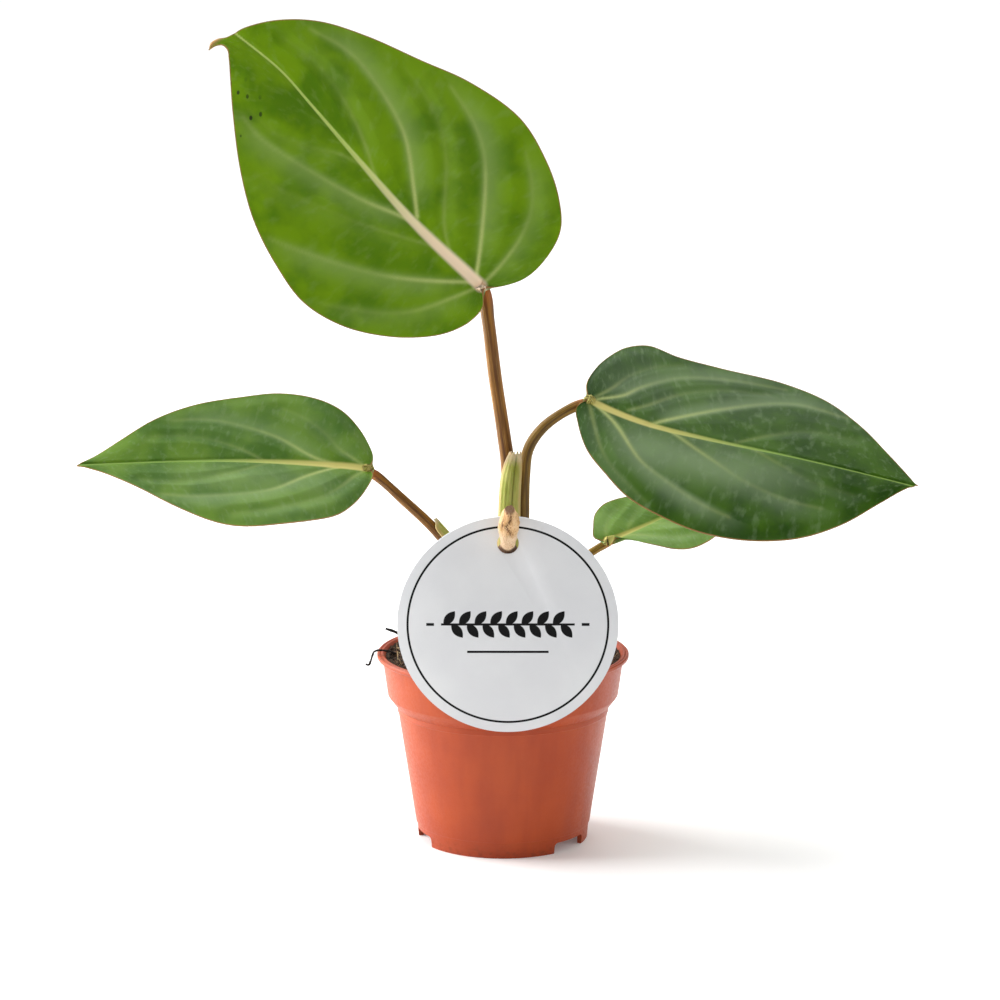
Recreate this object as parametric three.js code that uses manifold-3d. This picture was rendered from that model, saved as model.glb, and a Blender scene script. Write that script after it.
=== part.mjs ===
// A young philodendron in a small moulded nursery pot, with its round label card on a wooden stick.
// Millimetres, +Z up. The origin is the centre of the pot's base, on the ground. The front is -Y.
import * as THREE from "three";
import { ParametricGeometry } from "three/addons/geometries/ParametricGeometry.js";
import { mergeVertices } from "three/addons/utils/BufferGeometryUtils.js";
import Module from "manifold-3d";

// The gap between pieces that touch or sit in one another.
const GAP = 0.3;

// Pot: a tapered cup with a taller band and a thin lip at its top, on a foot ring with three gaps.
const POT_HEIGHT = 45.3;
const LIP_RADIUS = 30;
const LIP_HEIGHT = 1.1;
const LIP_OVERHANG = 1.3;
const BAND_HEIGHT = 9.2;
const BAND_TAPER = 1.2;
const SHOULDER_HEIGHT = 2.5;
const SHOULDER_STEP = 2.3;
const LEDGE_HEIGHT = 1.5;
const LEDGE_STEP = 0.2;
const BASE_RADIUS = 20.25;
const FOOT_HEIGHT = 4;
const FOOT_STEP = 0.3;
const WALL = 0.9;
const FLOOR_LIFT = 2.9;
const FLOOR_THICKNESS = 0.9;
const CENTRE_FOOT_RADIUS = 4;
const FOOT_GAP_ANGLES = [52, -72, 169];
const FOOT_GAP_WIDTH = 10.6;
const FOOT_GAP_HEIGHT = 2.6;
const FOOT_GAP_SLANT = 1.2;
const LIP_EDGE = 0.25;
const LIP_FLARE = 0.75;
const DRAIN_RADIUS = 2.2;
const DRAIN_CIRCLE = 14;
const POT_SIDES = 48;

// Potting mix: it fills the pot to a little under the lip, with a lumpy top. SOIL_DROP is how far
// the level that planting heights count from lies under the lip, and the mix is filled over it.
const SOIL_DROP = 2.9;
const SOIL_FILL = 1.8;
const SOIL_BUMP = 0.55;
const SOIL_RINGS = 6;

// The heights of everything planted count from this level.
const SOIL_TOP = POT_HEIGHT - SOIL_DROP;

// Stem: the short upright shoot that bears the leaves, with its lower end in the soil.
const STEM_RADIUS = 3.2;
const STEM_TOP_RADIUS = 2.7;
const STEM_HEIGHT = 12.6;
const STEM_DEPTH = 13;
const ROOT_RADIUS = 0.9;
const ROOT_COUNT = 4;
const ROOT_REACH = 13;
const ROOT_DEPTH = 17;

// Leaf blades.
const BLADE_THICKNESS = 0.6;
const JOIN_BACK = 0.8;
const LOBE_SHARE = 0.16;
const TIP_SHARE = [0.55, 0.9];
const BLADE_ROWS = 20;
const BLADE_COLUMNS = 5;

// Label card and the stick that carries it.
const CARD_RADIUS = 25.5;
const CARD_THICKNESS = 0.5;
const CARD_CENTRE_X = 1.1;
const CARD_CENTRE_Z = 16.9;
const CARD_HOLE_RADIUS = 2.5;
const CARD_HOLE_RISE = 19.2;
const STICK_RADIUS = 2.1;
const STICK_END_RADIUS = 1.4;
const STICK_END_LENGTH = 4;
const NECK_CLEARANCE = 1.42;
const STICK_NECK_LENGTH = 8;
const STICK_LEAN = THREE.MathUtils.degToRad(42);
const STICK_ABOVE_HOLE = 13.4;
const STICK_DEPTH = 12;
const STICK_FOOT_Y = -9.5;
const STICK_BEND = 4.5;
const STICK_STRAIGHT = 7;

// Loose bits on the soil.
const PERLITE_COUNT = 11;
const PERLITE_RADIUS = 1.0;
const PERLITE_FLATNESS = 0.75;
const BIT_CLEARANCE = 2.4;
const PLANTED_RADIUS = 8.5;
const CHIP_COUNT = 8;
const CHIP_LENGTH = 3.4;
const CHIP_THICKNESS = 0.8;
const FIBRE_RADIUS = 0.25;
const TWIG_RADIUS = 0.42;

// The four leaves. A blade lies along its own +X from its base to its tip, with its upper face to
// its own +Z and its left side to +Y. heading is the compass angle of the tip seen from above, rise
// lifts the tip and roll turns the blade about its midrib, in degrees. The outlines are fractions of
// the length, from the base round the lobe to the tip. fold slopes the two halves down from the
// midrib (up where negative), droop lowers the tip, sway bends the midrib aside and wave ruffles
// the margin. The petiole's points run from the stem towards the blade, and its end is worked out.
const LEAVES = [
  {
    name: "1",
    length: 85.4,
    base: [-5.2, 1.0, 90.9],
    heading: 162.5,
    rise: 41.5,
    roll: -63,
    fold: -0.04,
    droop: 0.01,
    sway: -0.034,
    wave: 0.006,
    left: [
      [-0.045, 0.04],
      [-0.05, 0.09],
      [-0.034, 0.145],
      [0.0, 0.2],
      [0.08, 0.28],
      [0.19, 0.348],
      [0.31, 0.377],
      [0.43, 0.358],
      [0.57, 0.31],
      [0.7, 0.233],
      [0.83, 0.132],
      [0.898, 0.073],
      [0.941, 0.035],
      [0.965, 0.017],
      [0.984, 0.018],
      [0.996, 0.036],
    ],
    right: [
      [-0.035, -0.03],
      [-0.072, -0.1],
      [-0.074, -0.185],
      [-0.048, -0.265],
      [0.02, -0.326],
      [0.12, -0.376],
      [0.25, -0.409],
      [0.42, -0.386],
      [0.56, -0.337],
      [0.72, -0.279],
      [0.84, -0.217],
      [0.925, -0.138],
      [0.975, -0.06],
      [0.992, -0.008],
      [1.008, 0.014],
      [1.012, 0.036],
    ],
    tip: [1.0, 0.054],
    radii: [1.9, 1.62, 1.5],
    petiole: [
      [0.9, 1.2, 14.5],
      [1.2, 1.4, 30],
      [1.1, 1.2, 48],
      [0.1, 1.0, 56],
      [-1.9, 1.0, 69.4],
      [-3.5, 1.0, 82.7],
    ],
  },
  {
    name: "2",
    length: 79.1,
    base: [20.4, -2.0, 64.4],
    heading: -11,
    rise: -12.5,
    roll: 36,
    fold: 0.16,
    droop: 0.03,
    sway: -0.022,
    wave: 0.006,
    left: [
      [-0.024, 0.05],
      [-0.022, 0.13],
      [0.0, 0.215],
      [0.04, 0.285],
      [0.1, 0.315],
      [0.2, 0.296],
      [0.33, 0.3],
      [0.52, 0.314],
      [0.66, 0.287],
      [0.78, 0.212],
      [0.9, 0.105],
      [0.97, 0.045],
    ],
    right: [
      [-0.03, -0.04],
      [-0.012, -0.088],
      [0.04, -0.173],
      [0.11, -0.238],
      [0.2, -0.3],
      [0.32, -0.331],
      [0.45, -0.342],
      [0.6, -0.32],
      [0.72, -0.272],
      [0.82, -0.19],
      [0.91, -0.076],
      [0.965, -0.008],
    ],
    tip: [1.0, 0.022],
    radii: [1.65, 1.45, 1.1],
    petiole: [
      [5.3, -0.3, 5.5],
      [5.0, -0.4, 20],
      [4.8, -0.4, 37],
      [5.1, -0.6, 46],
      [6.0, -0.9, 52.3],
      [9.1, -1.4, 57.2],
      [14.2, -1.8, 61.2],
    ],
  },
  {
    name: "3",
    length: 68.3,
    base: [-31.8, -2.0, 48.0],
    heading: 184,
    rise: 3,
    roll: -32,
    fold: -0.07,
    droop: 0.035,
    sway: 0.01,
    wave: 0.006,
    left: [
      [-0.015, 0.04],
      [0.002, 0.1],
      [0.045, 0.182],
      [0.11, 0.255],
      [0.2, 0.296],
      [0.31, 0.32],
      [0.42, 0.326],
      [0.52, 0.302],
      [0.66, 0.225],
      [0.8, 0.122],
      [0.92, 0.04],
    ],
    right: [
      [-0.018, -0.05],
      [-0.006, -0.11],
      [0.035, -0.195],
      [0.1, -0.272],
      [0.2, -0.328],
      [0.32, -0.35],
      [0.45, -0.326],
      [0.6, -0.28],
      [0.74, -0.208],
      [0.85, -0.122],
      [0.94, -0.045],
    ],
    tip: [1.0, 0],
    radii: [1.5, 1.3, 1.05],
    petiole: [
      [-4.85, -0.2, 5.5],
      [-5.2, -0.2, 13],
      [-8.6, -0.4, 22.5],
      [-15.4, -0.8, 32],
      [-23.4, -1.4, 40],
    ],
  },
  {
    name: "4",
    length: 38,
    base: [24.9, 9.0, 28.2],
    heading: 20,
    rise: 15,
    roll: 31,
    fold: -0.1,
    droop: 0.04,
    sway: 0.02,
    wave: 0.008,
    left: [
      [-0.066, 0.045],
      [-0.03, 0.139],
      [0.021, 0.222],
      [0.097, 0.268],
      [0.192, 0.273],
      [0.3, 0.263],
      [0.45, 0.25],
      [0.62, 0.21],
      [0.78, 0.13],
      [0.92, 0.04],
    ],
    right: [
      [0.06, -0.014],
      [0.13, -0.066],
      [0.189, -0.131],
      [0.263, -0.212],
      [0.329, -0.27],
      [0.417, -0.313],
      [0.507, -0.322],
      [0.63, -0.288],
      [0.78, -0.2],
      [0.91, -0.085],
    ],
    tip: [1.0, 0],
    radii: [1.4, 1.15, 0.9],
    petiole: [
      [3.95, 3.9, 5.0],
      [5.4, 4.6, 11],
      [9.5, 5.4, 16],
      [15, 6.3, 20.6],
      [20.8, 7.4, 25.2],
    ],
  },
];

// Cataphylls: papery sheaths beside the petioles' feet. axis runs from the foot to the tip, and
// from and to are the arc's two edges seen from above, in degrees.
const CATAPHYLLS = [
  {
    name: "cataphyll_front",
    axis: [
      [1.3, -0.4, 14.2],
      [1.4, -1.4, 28],
      [1.5, -1.4, 36],
      [1.9, -1.4, 45],
      [3, -1.4, 52.4],
    ],
    radius: 2.95,
    topRadius: 2.4,
    from: 200,
    to: 332,
    thickness: 0.5,
  },
  {
    name: "cataphyll_left",
    axis: [
      [-5.2, -0.2, 13.5],
      [-8.4, -0.4, 22.5],
      [-15.2, -0.8, 31.8],
      [-18.6, -1, 35.6],
    ],
    radius: 2.5,
    topRadius: 2.6,
    from: -75,
    to: 55,
    thickness: 0.45,
  },
];

const wasm = await Module();
wasm.setup();

function solidOf(geometry) {
  const bare = geometry.index ? geometry.toNonIndexed() : geometry.clone();
  bare.deleteAttribute("normal");
  bare.deleteAttribute("uv");
  const merged = mergeVertices(bare, 1e-4);
  return new wasm.Manifold(
    new wasm.Mesh({
      numProp: 3,
      vertProperties: merged.attributes.position.array,
      triVerts: new Uint32Array(merged.index.array),
    }),
  );
}

function geometryOf(solid) {
  const mesh = solid.getMesh();
  const geometry = new THREE.BufferGeometry();
  geometry.setAttribute("position", new THREE.BufferAttribute(mesh.vertProperties, 3));
  geometry.setIndex(new THREE.BufferAttribute(mesh.triVerts, 1));
  geometry.computeVertexNormals();
  return geometry;
}

function part(name, geometry, colour, roughness) {
  const material = new THREE.MeshStandardMaterial({ color: colour, roughness, metalness: 0 });
  const mesh = new THREE.Mesh(geometry, material);
  mesh.name = name;
  return mesh;
}

// A profile of [radius, height] pairs turned about Z.
function turned(profile, sides) {
  const points = profile.map(([radius, height]) => new THREE.Vector2(radius, height));
  return new THREE.LatheGeometry(points, sides).rotateX(Math.PI / 2);
}

function smoothCurve(points) {
  return new THREE.CatmullRomCurve3(points.map((point) => new THREE.Vector3(...point)));
}

// A round rod along a curve, whose radius at t along it is radiusAt(t).
function rod(curve, radiusAt, sides, steps) {
  const section = new THREE.Shape().absarc(0, 0, 1, 0, 2 * Math.PI);
  const geometry = new THREE.ExtrudeGeometry(section, {
    extrudePath: curve,
    steps,
    curveSegments: sides / 2,
  });
  const stations = curve.getSpacedPoints(steps);
  const position = geometry.attributes.position;
  const point = new THREE.Vector3();
  for (let i = 0; i < position.count; i++) {
    point.fromBufferAttribute(position, i);
    let nearest = 0;
    stations.forEach((station, k) => {
      if (station.distanceTo(point) < stations[nearest].distanceTo(point)) nearest = k;
    });
    const centre = stations[nearest];
    point.sub(centre).multiplyScalar(radiusAt(nearest / steps)).add(centre);
    position.setXYZ(i, point.x, point.y, point.z);
  }
  return geometry;
}

// A closed thin sheet over surface(u, v), which comes to an edge all round.
function sheet(surface, thickness, rows, columns) {
  const step = 1e-3;
  const face = (u, v, side, target) => {
    const here = surface(u, v);
    const alongU = surface(Math.min(u + step, 1), v).sub(surface(Math.max(u - step, 0), v));
    const alongV = surface(u, Math.min(v + step, 1)).sub(surface(u, Math.max(v - step, 0)));
    const normal = alongU.cross(alongV).normalize();
    const inside = u > 0 && u < 1 && v > 0 && v < 1;
    target.copy(here).addScaledVector(normal, inside ? (side * thickness) / 2 : 0);
  };
  const wrapped = (round, along, target) => {
    const v = round < 0.5 ? 2 * round : 2 - 2 * round;
    face(along, v, round < 0.5 ? -1 : 1, target);
  };
  return new ParametricGeometry(wrapped, 2 * columns, rows);
}

// Heights and radii of the pot's steps, worked out from the top down.
const shoulderTop = POT_HEIGHT - LIP_HEIGHT - BAND_HEIGHT;
const shoulderFoot = shoulderTop - SHOULDER_HEIGHT;
const bandTopRadius = LIP_RADIUS - LIP_OVERHANG;
const bandFootRadius = bandTopRadius - BAND_TAPER;
const ledgeRadius = bandFootRadius - SHOULDER_STEP;
const wallTopRadius = ledgeRadius - LEDGE_STEP;
const ledgeFoot = shoulderFoot - LEDGE_HEIGHT;
const floorTop = FLOOR_LIFT + FLOOR_THICKNESS;

function wallRadiusAt(height) {
  const share = (height - FOOT_HEIGHT) / (ledgeFoot - FOOT_HEIGHT);
  return BASE_RADIUS + 2 * FOOT_STEP + share * (wallTopRadius - BASE_RADIUS - 2 * FOOT_STEP);
}

function potGeometry() {
  const footTopRadius = BASE_RADIUS + FOOT_STEP;
  const body = solidOf(
    turned(
      [
        [0, FLOOR_LIFT],
        [BASE_RADIUS - WALL, FLOOR_LIFT],
        [BASE_RADIUS - 1.3 * WALL, 0],
        [BASE_RADIUS, 0],
        [footTopRadius, FOOT_HEIGHT - FOOT_STEP],
        [wallRadiusAt(FOOT_HEIGHT), FOOT_HEIGHT],
        [wallTopRadius, ledgeFoot],
        [ledgeRadius, ledgeFoot + LEDGE_STEP],
        [ledgeRadius, shoulderFoot],
        [bandFootRadius, shoulderTop],
        [bandTopRadius, POT_HEIGHT - LIP_HEIGHT],
        [LIP_RADIUS - LIP_EDGE, POT_HEIGHT - LIP_HEIGHT],
        [LIP_RADIUS, POT_HEIGHT - LIP_HEIGHT + LIP_EDGE],
        [LIP_RADIUS, POT_HEIGHT - LIP_EDGE],
        [LIP_RADIUS - LIP_EDGE, POT_HEIGHT],
        [bandTopRadius - WALL + LIP_FLARE, POT_HEIGHT],
        [bandTopRadius - WALL, POT_HEIGHT - LIP_HEIGHT],
        [bandFootRadius - WALL, shoulderTop],
        [ledgeRadius - WALL, shoulderFoot],
        [wallRadiusAt(floorTop) - WALL, floorTop],
        [0, floorTop],
      ],
      POT_SIDES,
    ),
  );
  const centreFoot = new THREE.CylinderGeometry(
    CENTRE_FOOT_RADIUS,
    CENTRE_FOOT_RADIUS,
    FLOOR_LIFT + FLOOR_THICKNESS / 2,
    24,
  );
  centreFoot.rotateX(Math.PI / 2).translate(0, 0, (FLOOR_LIFT + FLOOR_THICKNESS / 2) / 2);
  let pot = body.add(solidOf(centreFoot));
  for (const angle of FOOT_GAP_ANGLES) {
    const turn = THREE.MathUtils.degToRad(angle);
    pot = pot.subtract(solidOf(footGap().rotateZ(turn)));
    pot = pot.subtract(solidOf(drainHole().rotateZ(turn)));
    pot = pot.subtract(solidOf(drainHole().rotateZ(turn + Math.PI / FOOT_GAP_ANGLES.length)));
  }
  return geometryOf(pot);
}

// One gap in the foot ring, cut from the front (-Y), with slanted ends.
function footGap() {
  const half = FOOT_GAP_WIDTH / 2;
  const outline = new THREE.Shape();
  outline.moveTo(-half, -1);
  outline.lineTo(half, -1);
  outline.lineTo(half - FOOT_GAP_SLANT / 2, FOOT_GAP_HEIGHT - FOOT_GAP_SLANT);
  outline.lineTo(half - FOOT_GAP_SLANT, FOOT_GAP_HEIGHT);
  outline.lineTo(FOOT_GAP_SLANT - half, FOOT_GAP_HEIGHT);
  outline.lineTo(FOOT_GAP_SLANT / 2 - half, FOOT_GAP_HEIGHT - FOOT_GAP_SLANT);
  const depth = 6;
  const cutter = new THREE.ExtrudeGeometry(outline, { depth, bevelEnabled: false });
  return cutter.rotateX(Math.PI / 2).translate(0, depth / 2 - BASE_RADIUS, 0);
}

function drainHole() {
  const hole = new THREE.CylinderGeometry(DRAIN_RADIUS, DRAIN_RADIUS, 3 * FLOOR_THICKNESS, 16);
  return hole.rotateX(Math.PI / 2).translate(0, -DRAIN_CIRCLE, FLOOR_LIFT + FLOOR_THICKNESS / 2);
}

// The lumpy top of the soil, as a height over the planting level.
function soilBump(x, y) {
  const lumps = Math.sin(0.55 * x + 1.3) * Math.cos(0.47 * y - 0.4) + 0.6 * Math.sin(0.9 * y + 0.31 * x);
  const toWall = Math.min(1, (bandTopRadius - Math.hypot(x, y)) / 8);
  return SOIL_FILL + (SOIL_BUMP * lumps * Math.max(0, toWall)) / 1.6;
}

function soilGeometry() {
  const slack = WALL + GAP;
  const topRadius = bandFootRadius + (BAND_TAPER * (SOIL_TOP - shoulderTop)) / BAND_HEIGHT - slack;
  const foot = floorTop + GAP;
  const profile = [
    [0, foot],
    [wallRadiusAt(foot) - slack, foot],
    [ledgeRadius - slack, shoulderFoot],
    [bandFootRadius - slack, shoulderTop],
  ];
  for (let ring = SOIL_RINGS; ring >= 0; ring--) profile.push([(topRadius * ring) / SOIL_RINGS, SOIL_TOP]);
  const geometry = turned(profile, POT_SIDES);
  const position = geometry.attributes.position;
  for (let i = 0; i < position.count; i++) {
    if (Math.abs(position.getZ(i) - SOIL_TOP) > 1e-3) continue;
    position.setZ(i, SOIL_TOP + soilBump(position.getX(i), position.getY(i)));
  }
  let soil = solidOf(geometry);
  const planted = [stemSolid(GAP), solidOf(stickGeometry(GAP))];
  for (let i = 0; i < ROOT_COUNT; i++) planted.push(solidOf(rootGeometry(i, GAP)));
  for (const solid of planted) soil = soil.subtract(solid.translate([0, 0, SOIL_TOP]));
  return geometryOf(soil);
}

// The stem, grown by an allowance all round.
function stemSolid(allowance) {
  return solidOf(
    turned(
      [
        [0, -STEM_DEPTH - allowance],
        [0.7 * STEM_RADIUS + allowance, -STEM_DEPTH - allowance],
        [STEM_RADIUS + allowance, -0.5 * STEM_DEPTH],
        [STEM_RADIUS + allowance, 0.25 * STEM_HEIGHT],
        [STEM_TOP_RADIUS + allowance, 0.86 * STEM_HEIGHT],
        [0.7 * STEM_TOP_RADIUS + allowance, 0.97 * STEM_HEIGHT],
        [0, STEM_HEIGHT + allowance],
      ],
      24,
    ),
  );
}

// A thick root, from beside the stem's foot down and out through the soil.
function rootGeometry(index, allowance) {
  const turn = (2 * Math.PI * (index + 0.5)) / ROOT_COUNT;
  const start = STEM_RADIUS + ROOT_RADIUS + GAP;
  const reach = (share) => start + share * (ROOT_REACH - start);
  const wander = [0, 0.12, 0.3, 0.34, 0.2];
  const points = wander.map((bend, i) => {
    const share = i / (wander.length - 1);
    const angle = turn + bend;
    const drop = -ROOT_DEPTH * (0.25 + 1.35 * share);
    return [reach(share) * Math.cos(angle), reach(share) * Math.sin(angle), drop];
  });
  points[0][2] += allowance;
  points[points.length - 1][2] -= allowance;
  return rod(smoothCurve(points), (t) => ROOT_RADIUS * (1 - 0.35 * t) + allowance, 8, 12);
}

// The blade's surface: s runs from the base to the tip, q from the left margin to the right one.
// The lobes fan out from the base, and near the tip the midrib runs halfway between the margins.
function bladeSurface(leaf) {
  const side = (points) =>
    smoothCurve([[0, 0], ...points, leaf.tip].map(([x, y]) => [x * leaf.length, y * leaf.length, 0]));
  const left = side(leaf.left);
  const right = side(leaf.right);
  return (s, q) => {
    const share = Math.max(0, (s - LOBE_SHARE) / (1 - LOBE_SHARE));
    const along = THREE.MathUtils.lerp(share, THREE.MathUtils.smoothstep(share, 0, 1), 0.35);
    const middle = new THREE.Vector3(along, leaf.sway * Math.sin(Math.PI * along), 0);
    middle.multiplyScalar(leaf.length);
    const halfway = left.getPoint(s).lerp(right.getPoint(s), 0.5);
    middle.lerp(halfway, THREE.MathUtils.smoothstep(s, ...TIP_SHARE));
    const across = Math.abs(2 * q - 1);
    const margin = (q < 0.5 ? left : right).getPoint(s);
    const point = middle.clone().lerp(margin, across);
    const slope = Math.hypot(point.y - middle.y, 1) - 1;
    const forward = point.x / leaf.length;
    const ruffle = leaf.wave * across ** 3 * Math.sin(17 * s + (q < 0.5 ? 0 : 2));
    const droop = leaf.droop * forward * Math.abs(forward);
    point.z = leaf.length * (ruffle - droop) - leaf.fold * slope;
    return point;
  };
}

// A petiole's point, kept clear of the stem where it runs beside it.
function besideStem([x, y, z], radius) {
  const out = Math.hypot(x, y);
  const push = z < STEM_HEIGHT ? Math.max(1, (STEM_RADIUS + GAP / 2 + radius) / out) : 1;
  return [x * push, y * push, z];
}

function leafParts(leaf) {
  const degrees = THREE.MathUtils.degToRad;
  const blade = part(
    "leaf_blade_" + leaf.name,
    sheet(bladeSurface(leaf), BLADE_THICKNESS, BLADE_ROWS, BLADE_COLUMNS * 2),
    "#4f8a34",
    0.5,
  );
  blade.rotation.set(degrees(leaf.roll), degrees(-leaf.rise), degrees(leaf.heading), "ZYX");
  blade.position.set(...leaf.base);
  const [foot, middle, top] = leaf.radii;
  const taper = (t) => (t < 0.5 ? foot + (middle - foot) * 2 * t : middle + (top - middle) * (2 * t - 1));
  const join = new THREE.Vector3(-JOIN_BACK, 0, -(BLADE_THICKNESS / 2 + GAP + top));
  join.applyEuler(blade.rotation).add(blade.position);
  const route = smoothCurve([...leaf.petiole.map((point) => besideStem(point, foot)), join.toArray()]);
  const petiole = part("petiole_" + leaf.name, rod(route, taper, 10, 16), "#8a6a30", 0.55);
  return [petiole, blade];
}

// A cataphyll: an arc of a tube that narrows and ends in a slanting point.
function cataphyllGeometry(shape) {
  const axis = smoothCurve(shape.axis);
  const surface = (u, v) => {
    const taper = 1 - 0.75 * Math.max(0, (u - 0.7) / 0.3) ** 2;
    const middle = (shape.from + shape.to) / 2;
    const angle = THREE.MathUtils.degToRad(middle + (shape.to - shape.from) * (v - 0.5) * taper);
    const radius = THREE.MathUtils.lerp(shape.radius, shape.topRadius, u);
    const point = axis.getPoint(u);
    point.x += radius * Math.cos(angle);
    point.y += radius * Math.sin(angle);
    return point;
  };
  return sheet(surface, shape.thickness, 12, 8);
}

// The card hangs upright in front of the pot, its back close to the lip. The stick is notched to
// pass slantwise through the card's hole.
const cardY = -(LIP_RADIUS + GAP + CARD_THICKNESS / 2);
const holeHeight = CARD_CENTRE_Z + CARD_HOLE_RISE;
const neckRadius = CARD_HOLE_RADIUS - NECK_CLEARANCE;

function cardGeometry() {
  const outline = new THREE.Shape().absarc(0, 0, CARD_RADIUS, 0, 2 * Math.PI);
  const hole = new THREE.Path().absarc(0, CARD_HOLE_RISE, CARD_HOLE_RADIUS, 0, 2 * Math.PI, true);
  outline.holes.push(hole);
  const card = new THREE.ExtrudeGeometry(outline, {
    depth: CARD_THICKNESS,
    bevelEnabled: false,
    curveSegments: 48,
  });
  return card.rotateX(Math.PI / 2).translate(CARD_CENTRE_X, CARD_THICKNESS / 2, CARD_CENTRE_Z);
}

// The stick rises from the soil, bends forward through the card's hole, is thinned there and
// narrows to a blunt end.
function stickGeometry(allowance) {
  const lean = new THREE.Vector3(0.03, -Math.sin(STICK_LEAN), Math.cos(STICK_LEAN)).normalize();
  const hole = new THREE.Vector3(CARD_CENTRE_X, cardY, holeHeight);
  const end = hole.clone().addScaledVector(lean, STICK_ABOVE_HOLE);
  const below = hole.clone().addScaledVector(lean, -STICK_STRAIGHT);
  const soil = new THREE.Vector3(0.3, STICK_FOOT_Y, 1);
  const knee = new THREE.Vector3(0.6, STICK_FOOT_Y - STICK_BEND, 0.42 * holeHeight);
  const foot = new THREE.Vector3(0.2, STICK_FOOT_Y + 1.5, -STICK_DEPTH - allowance);
  const curve = new THREE.CatmullRomCurve3([foot, soil, knee, below, hole, end]);
  const length = curve.getLength();
  const fromHole = (t) => (t - 1) * length + STICK_ABOVE_HOLE;
  const neck = (t) => Math.exp(-((fromHole(t) / (STICK_NECK_LENGTH / 2)) ** 4));
  const blunt = (t) => 1 - THREE.MathUtils.smoothstep((1 - t) * length, 0, STICK_END_LENGTH);
  const neckStep = neckRadius - STICK_RADIUS;
  const endStep = STICK_END_RADIUS - STICK_RADIUS;
  const radius = (t) => STICK_RADIUS + neckStep * neck(t) + endStep * blunt(t) + allowance;
  return rod(curve, radius, 12, 40);
}

// A number from 0 to 1 that differs from one bit to the next, the same each time.
function scatter(index, salt) {
  const value = Math.sin(index * 12.9898 + salt * 78.233) * 43758.5453;
  return value - Math.floor(value);
}

// Where a loose bit lies: a sunflower spread that keeps clear of the stem and the stick.
function spot(index, count) {
  const turn = THREE.MathUtils.degToRad(137.5 * index + 35);
  const outer = bandFootRadius - WALL - BIT_CLEARANCE;
  const share = (index + 0.5) / count;
  const radius = Math.sqrt(THREE.MathUtils.lerp(PLANTED_RADIUS ** 2, outer ** 2, share));
  return [radius * Math.cos(turn), radius * Math.sin(turn)];
}

// The highest soil under a bit that reaches this far from its middle.
function groundUnder(x, y, reach) {
  let highest = soilBump(x, y);
  for (let turn = 0; turn < 2 * Math.PI; turn += Math.PI / 4) {
    highest = Math.max(highest, soilBump(x + reach * Math.cos(turn), y + reach * Math.sin(turn)));
  }
  return highest;
}

function looseBits() {
  const bits = [];
  const count = PERLITE_COUNT + CHIP_COUNT;
  let grains = 0;
  for (let i = 0; i < count; i++) {
    const isChip = i % 2 === 1 && i / 2 < CHIP_COUNT;
    const size = PERLITE_RADIUS * (0.75 + 0.5 * scatter(i, 1));
    const chipLength = CHIP_LENGTH * (0.75 + 0.5 * scatter(i, 2));
    const half = isChip ? CHIP_THICKNESS / 2 : PERLITE_FLATNESS * size;
    const reach = isChip ? 0.55 * chipLength : 0.7 * size;
    const [x, y] = spot(i, count);
    const geometry = isChip
      ? new THREE.BoxGeometry(chipLength, 0.45 * chipLength, CHIP_THICKNESS)
      : new THREE.IcosahedronGeometry(size, 0).scale(1, 0.85, PERLITE_FLATNESS);
    geometry.rotateZ(2 * Math.PI * scatter(i, 3));
    const name = isChip ? "bark_chip_" + (i + 1) / 2 : "perlite_" + (++grains);
    const bit = part(name, geometry, isChip ? "#4a3526" : "#d9d5cc", 0.9);
    bit.position.set(x, y, groundUnder(x, y, reach) + half + GAP);
    bits.push(bit);
  }
  return bits;
}

// A black root fibre that hangs out over the lip on the left.
function fibreGeometry() {
  const inside = bandTopRadius - WALL;
  const over = SOIL_DROP + GAP + 2 * FIBRE_RADIUS;
  const points = [
    [2.4 - inside, -2.2, SOIL_DROP],
    [0.4 - inside, -2.6, over],
    [-LIP_RADIUS - 0.5, -3.0, over],
    [-LIP_RADIUS - 1.3, -3.2, over - 1.8],
    [-LIP_RADIUS - 1.9, -3.3, over - 3.2],
    [-LIP_RADIUS - 2.7, -3.3, over - 3.1],
  ];
  return rod(smoothCurve(points), () => FIBRE_RADIUS, 8, 16);
}

// A short dark twig that pokes up at the back left and leans out over the lip.
function twigGeometry() {
  const inside = bandTopRadius - WALL;
  const points = [
    [4.2 - inside, 8, 3.1],
    [3.7 - inside, 8, 4.2],
    [2.6 - inside, 8, 5.4],
    [-0.4 - inside, 8, 6.6],
  ];
  return rod(smoothCurve(points), (t) => TWIG_RADIUS * (1 - 0.3 * t), 8, 10);
}

// Assembly.
const plant = new THREE.Group();
plant.position.z = SOIL_TOP;
for (const leaf of LEAVES) plant.add(...leafParts(leaf));
plant.add(part("stem", geometryOf(stemSolid(0)), "#7d7a3c", 0.6));
for (let i = 0; i < ROOT_COUNT; i++) {
  plant.add(part("root_" + (i + 1), rootGeometry(i, 0), "#d8c9a4", 0.7));
}
for (const shape of CATAPHYLLS) plant.add(part(shape.name, cataphyllGeometry(shape), "#c9c78a", 0.6));
const card = part("label_card", cardGeometry(), "#dadbdd", 0.6);
card.position.y = cardY;
plant.add(card);
plant.add(part("label_stick", stickGeometry(0), "#e6c8a0", 0.8));
plant.add(...looseBits());
plant.add(part("root_fibre", fibreGeometry(), "#1c1713", 0.8));
plant.add(part("twig", twigGeometry(), "#17130f", 0.8));

const potted = new THREE.Group();
potted.add(part("pot", potGeometry(), "#c9603a", 0.45));
potted.add(part("soil", soilGeometry(), "#2e2119", 0.95));
potted.add(plant);

export default potted;
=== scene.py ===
# A young potted philodendron, with its round label card on a wooden stick.
import math
import random

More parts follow.
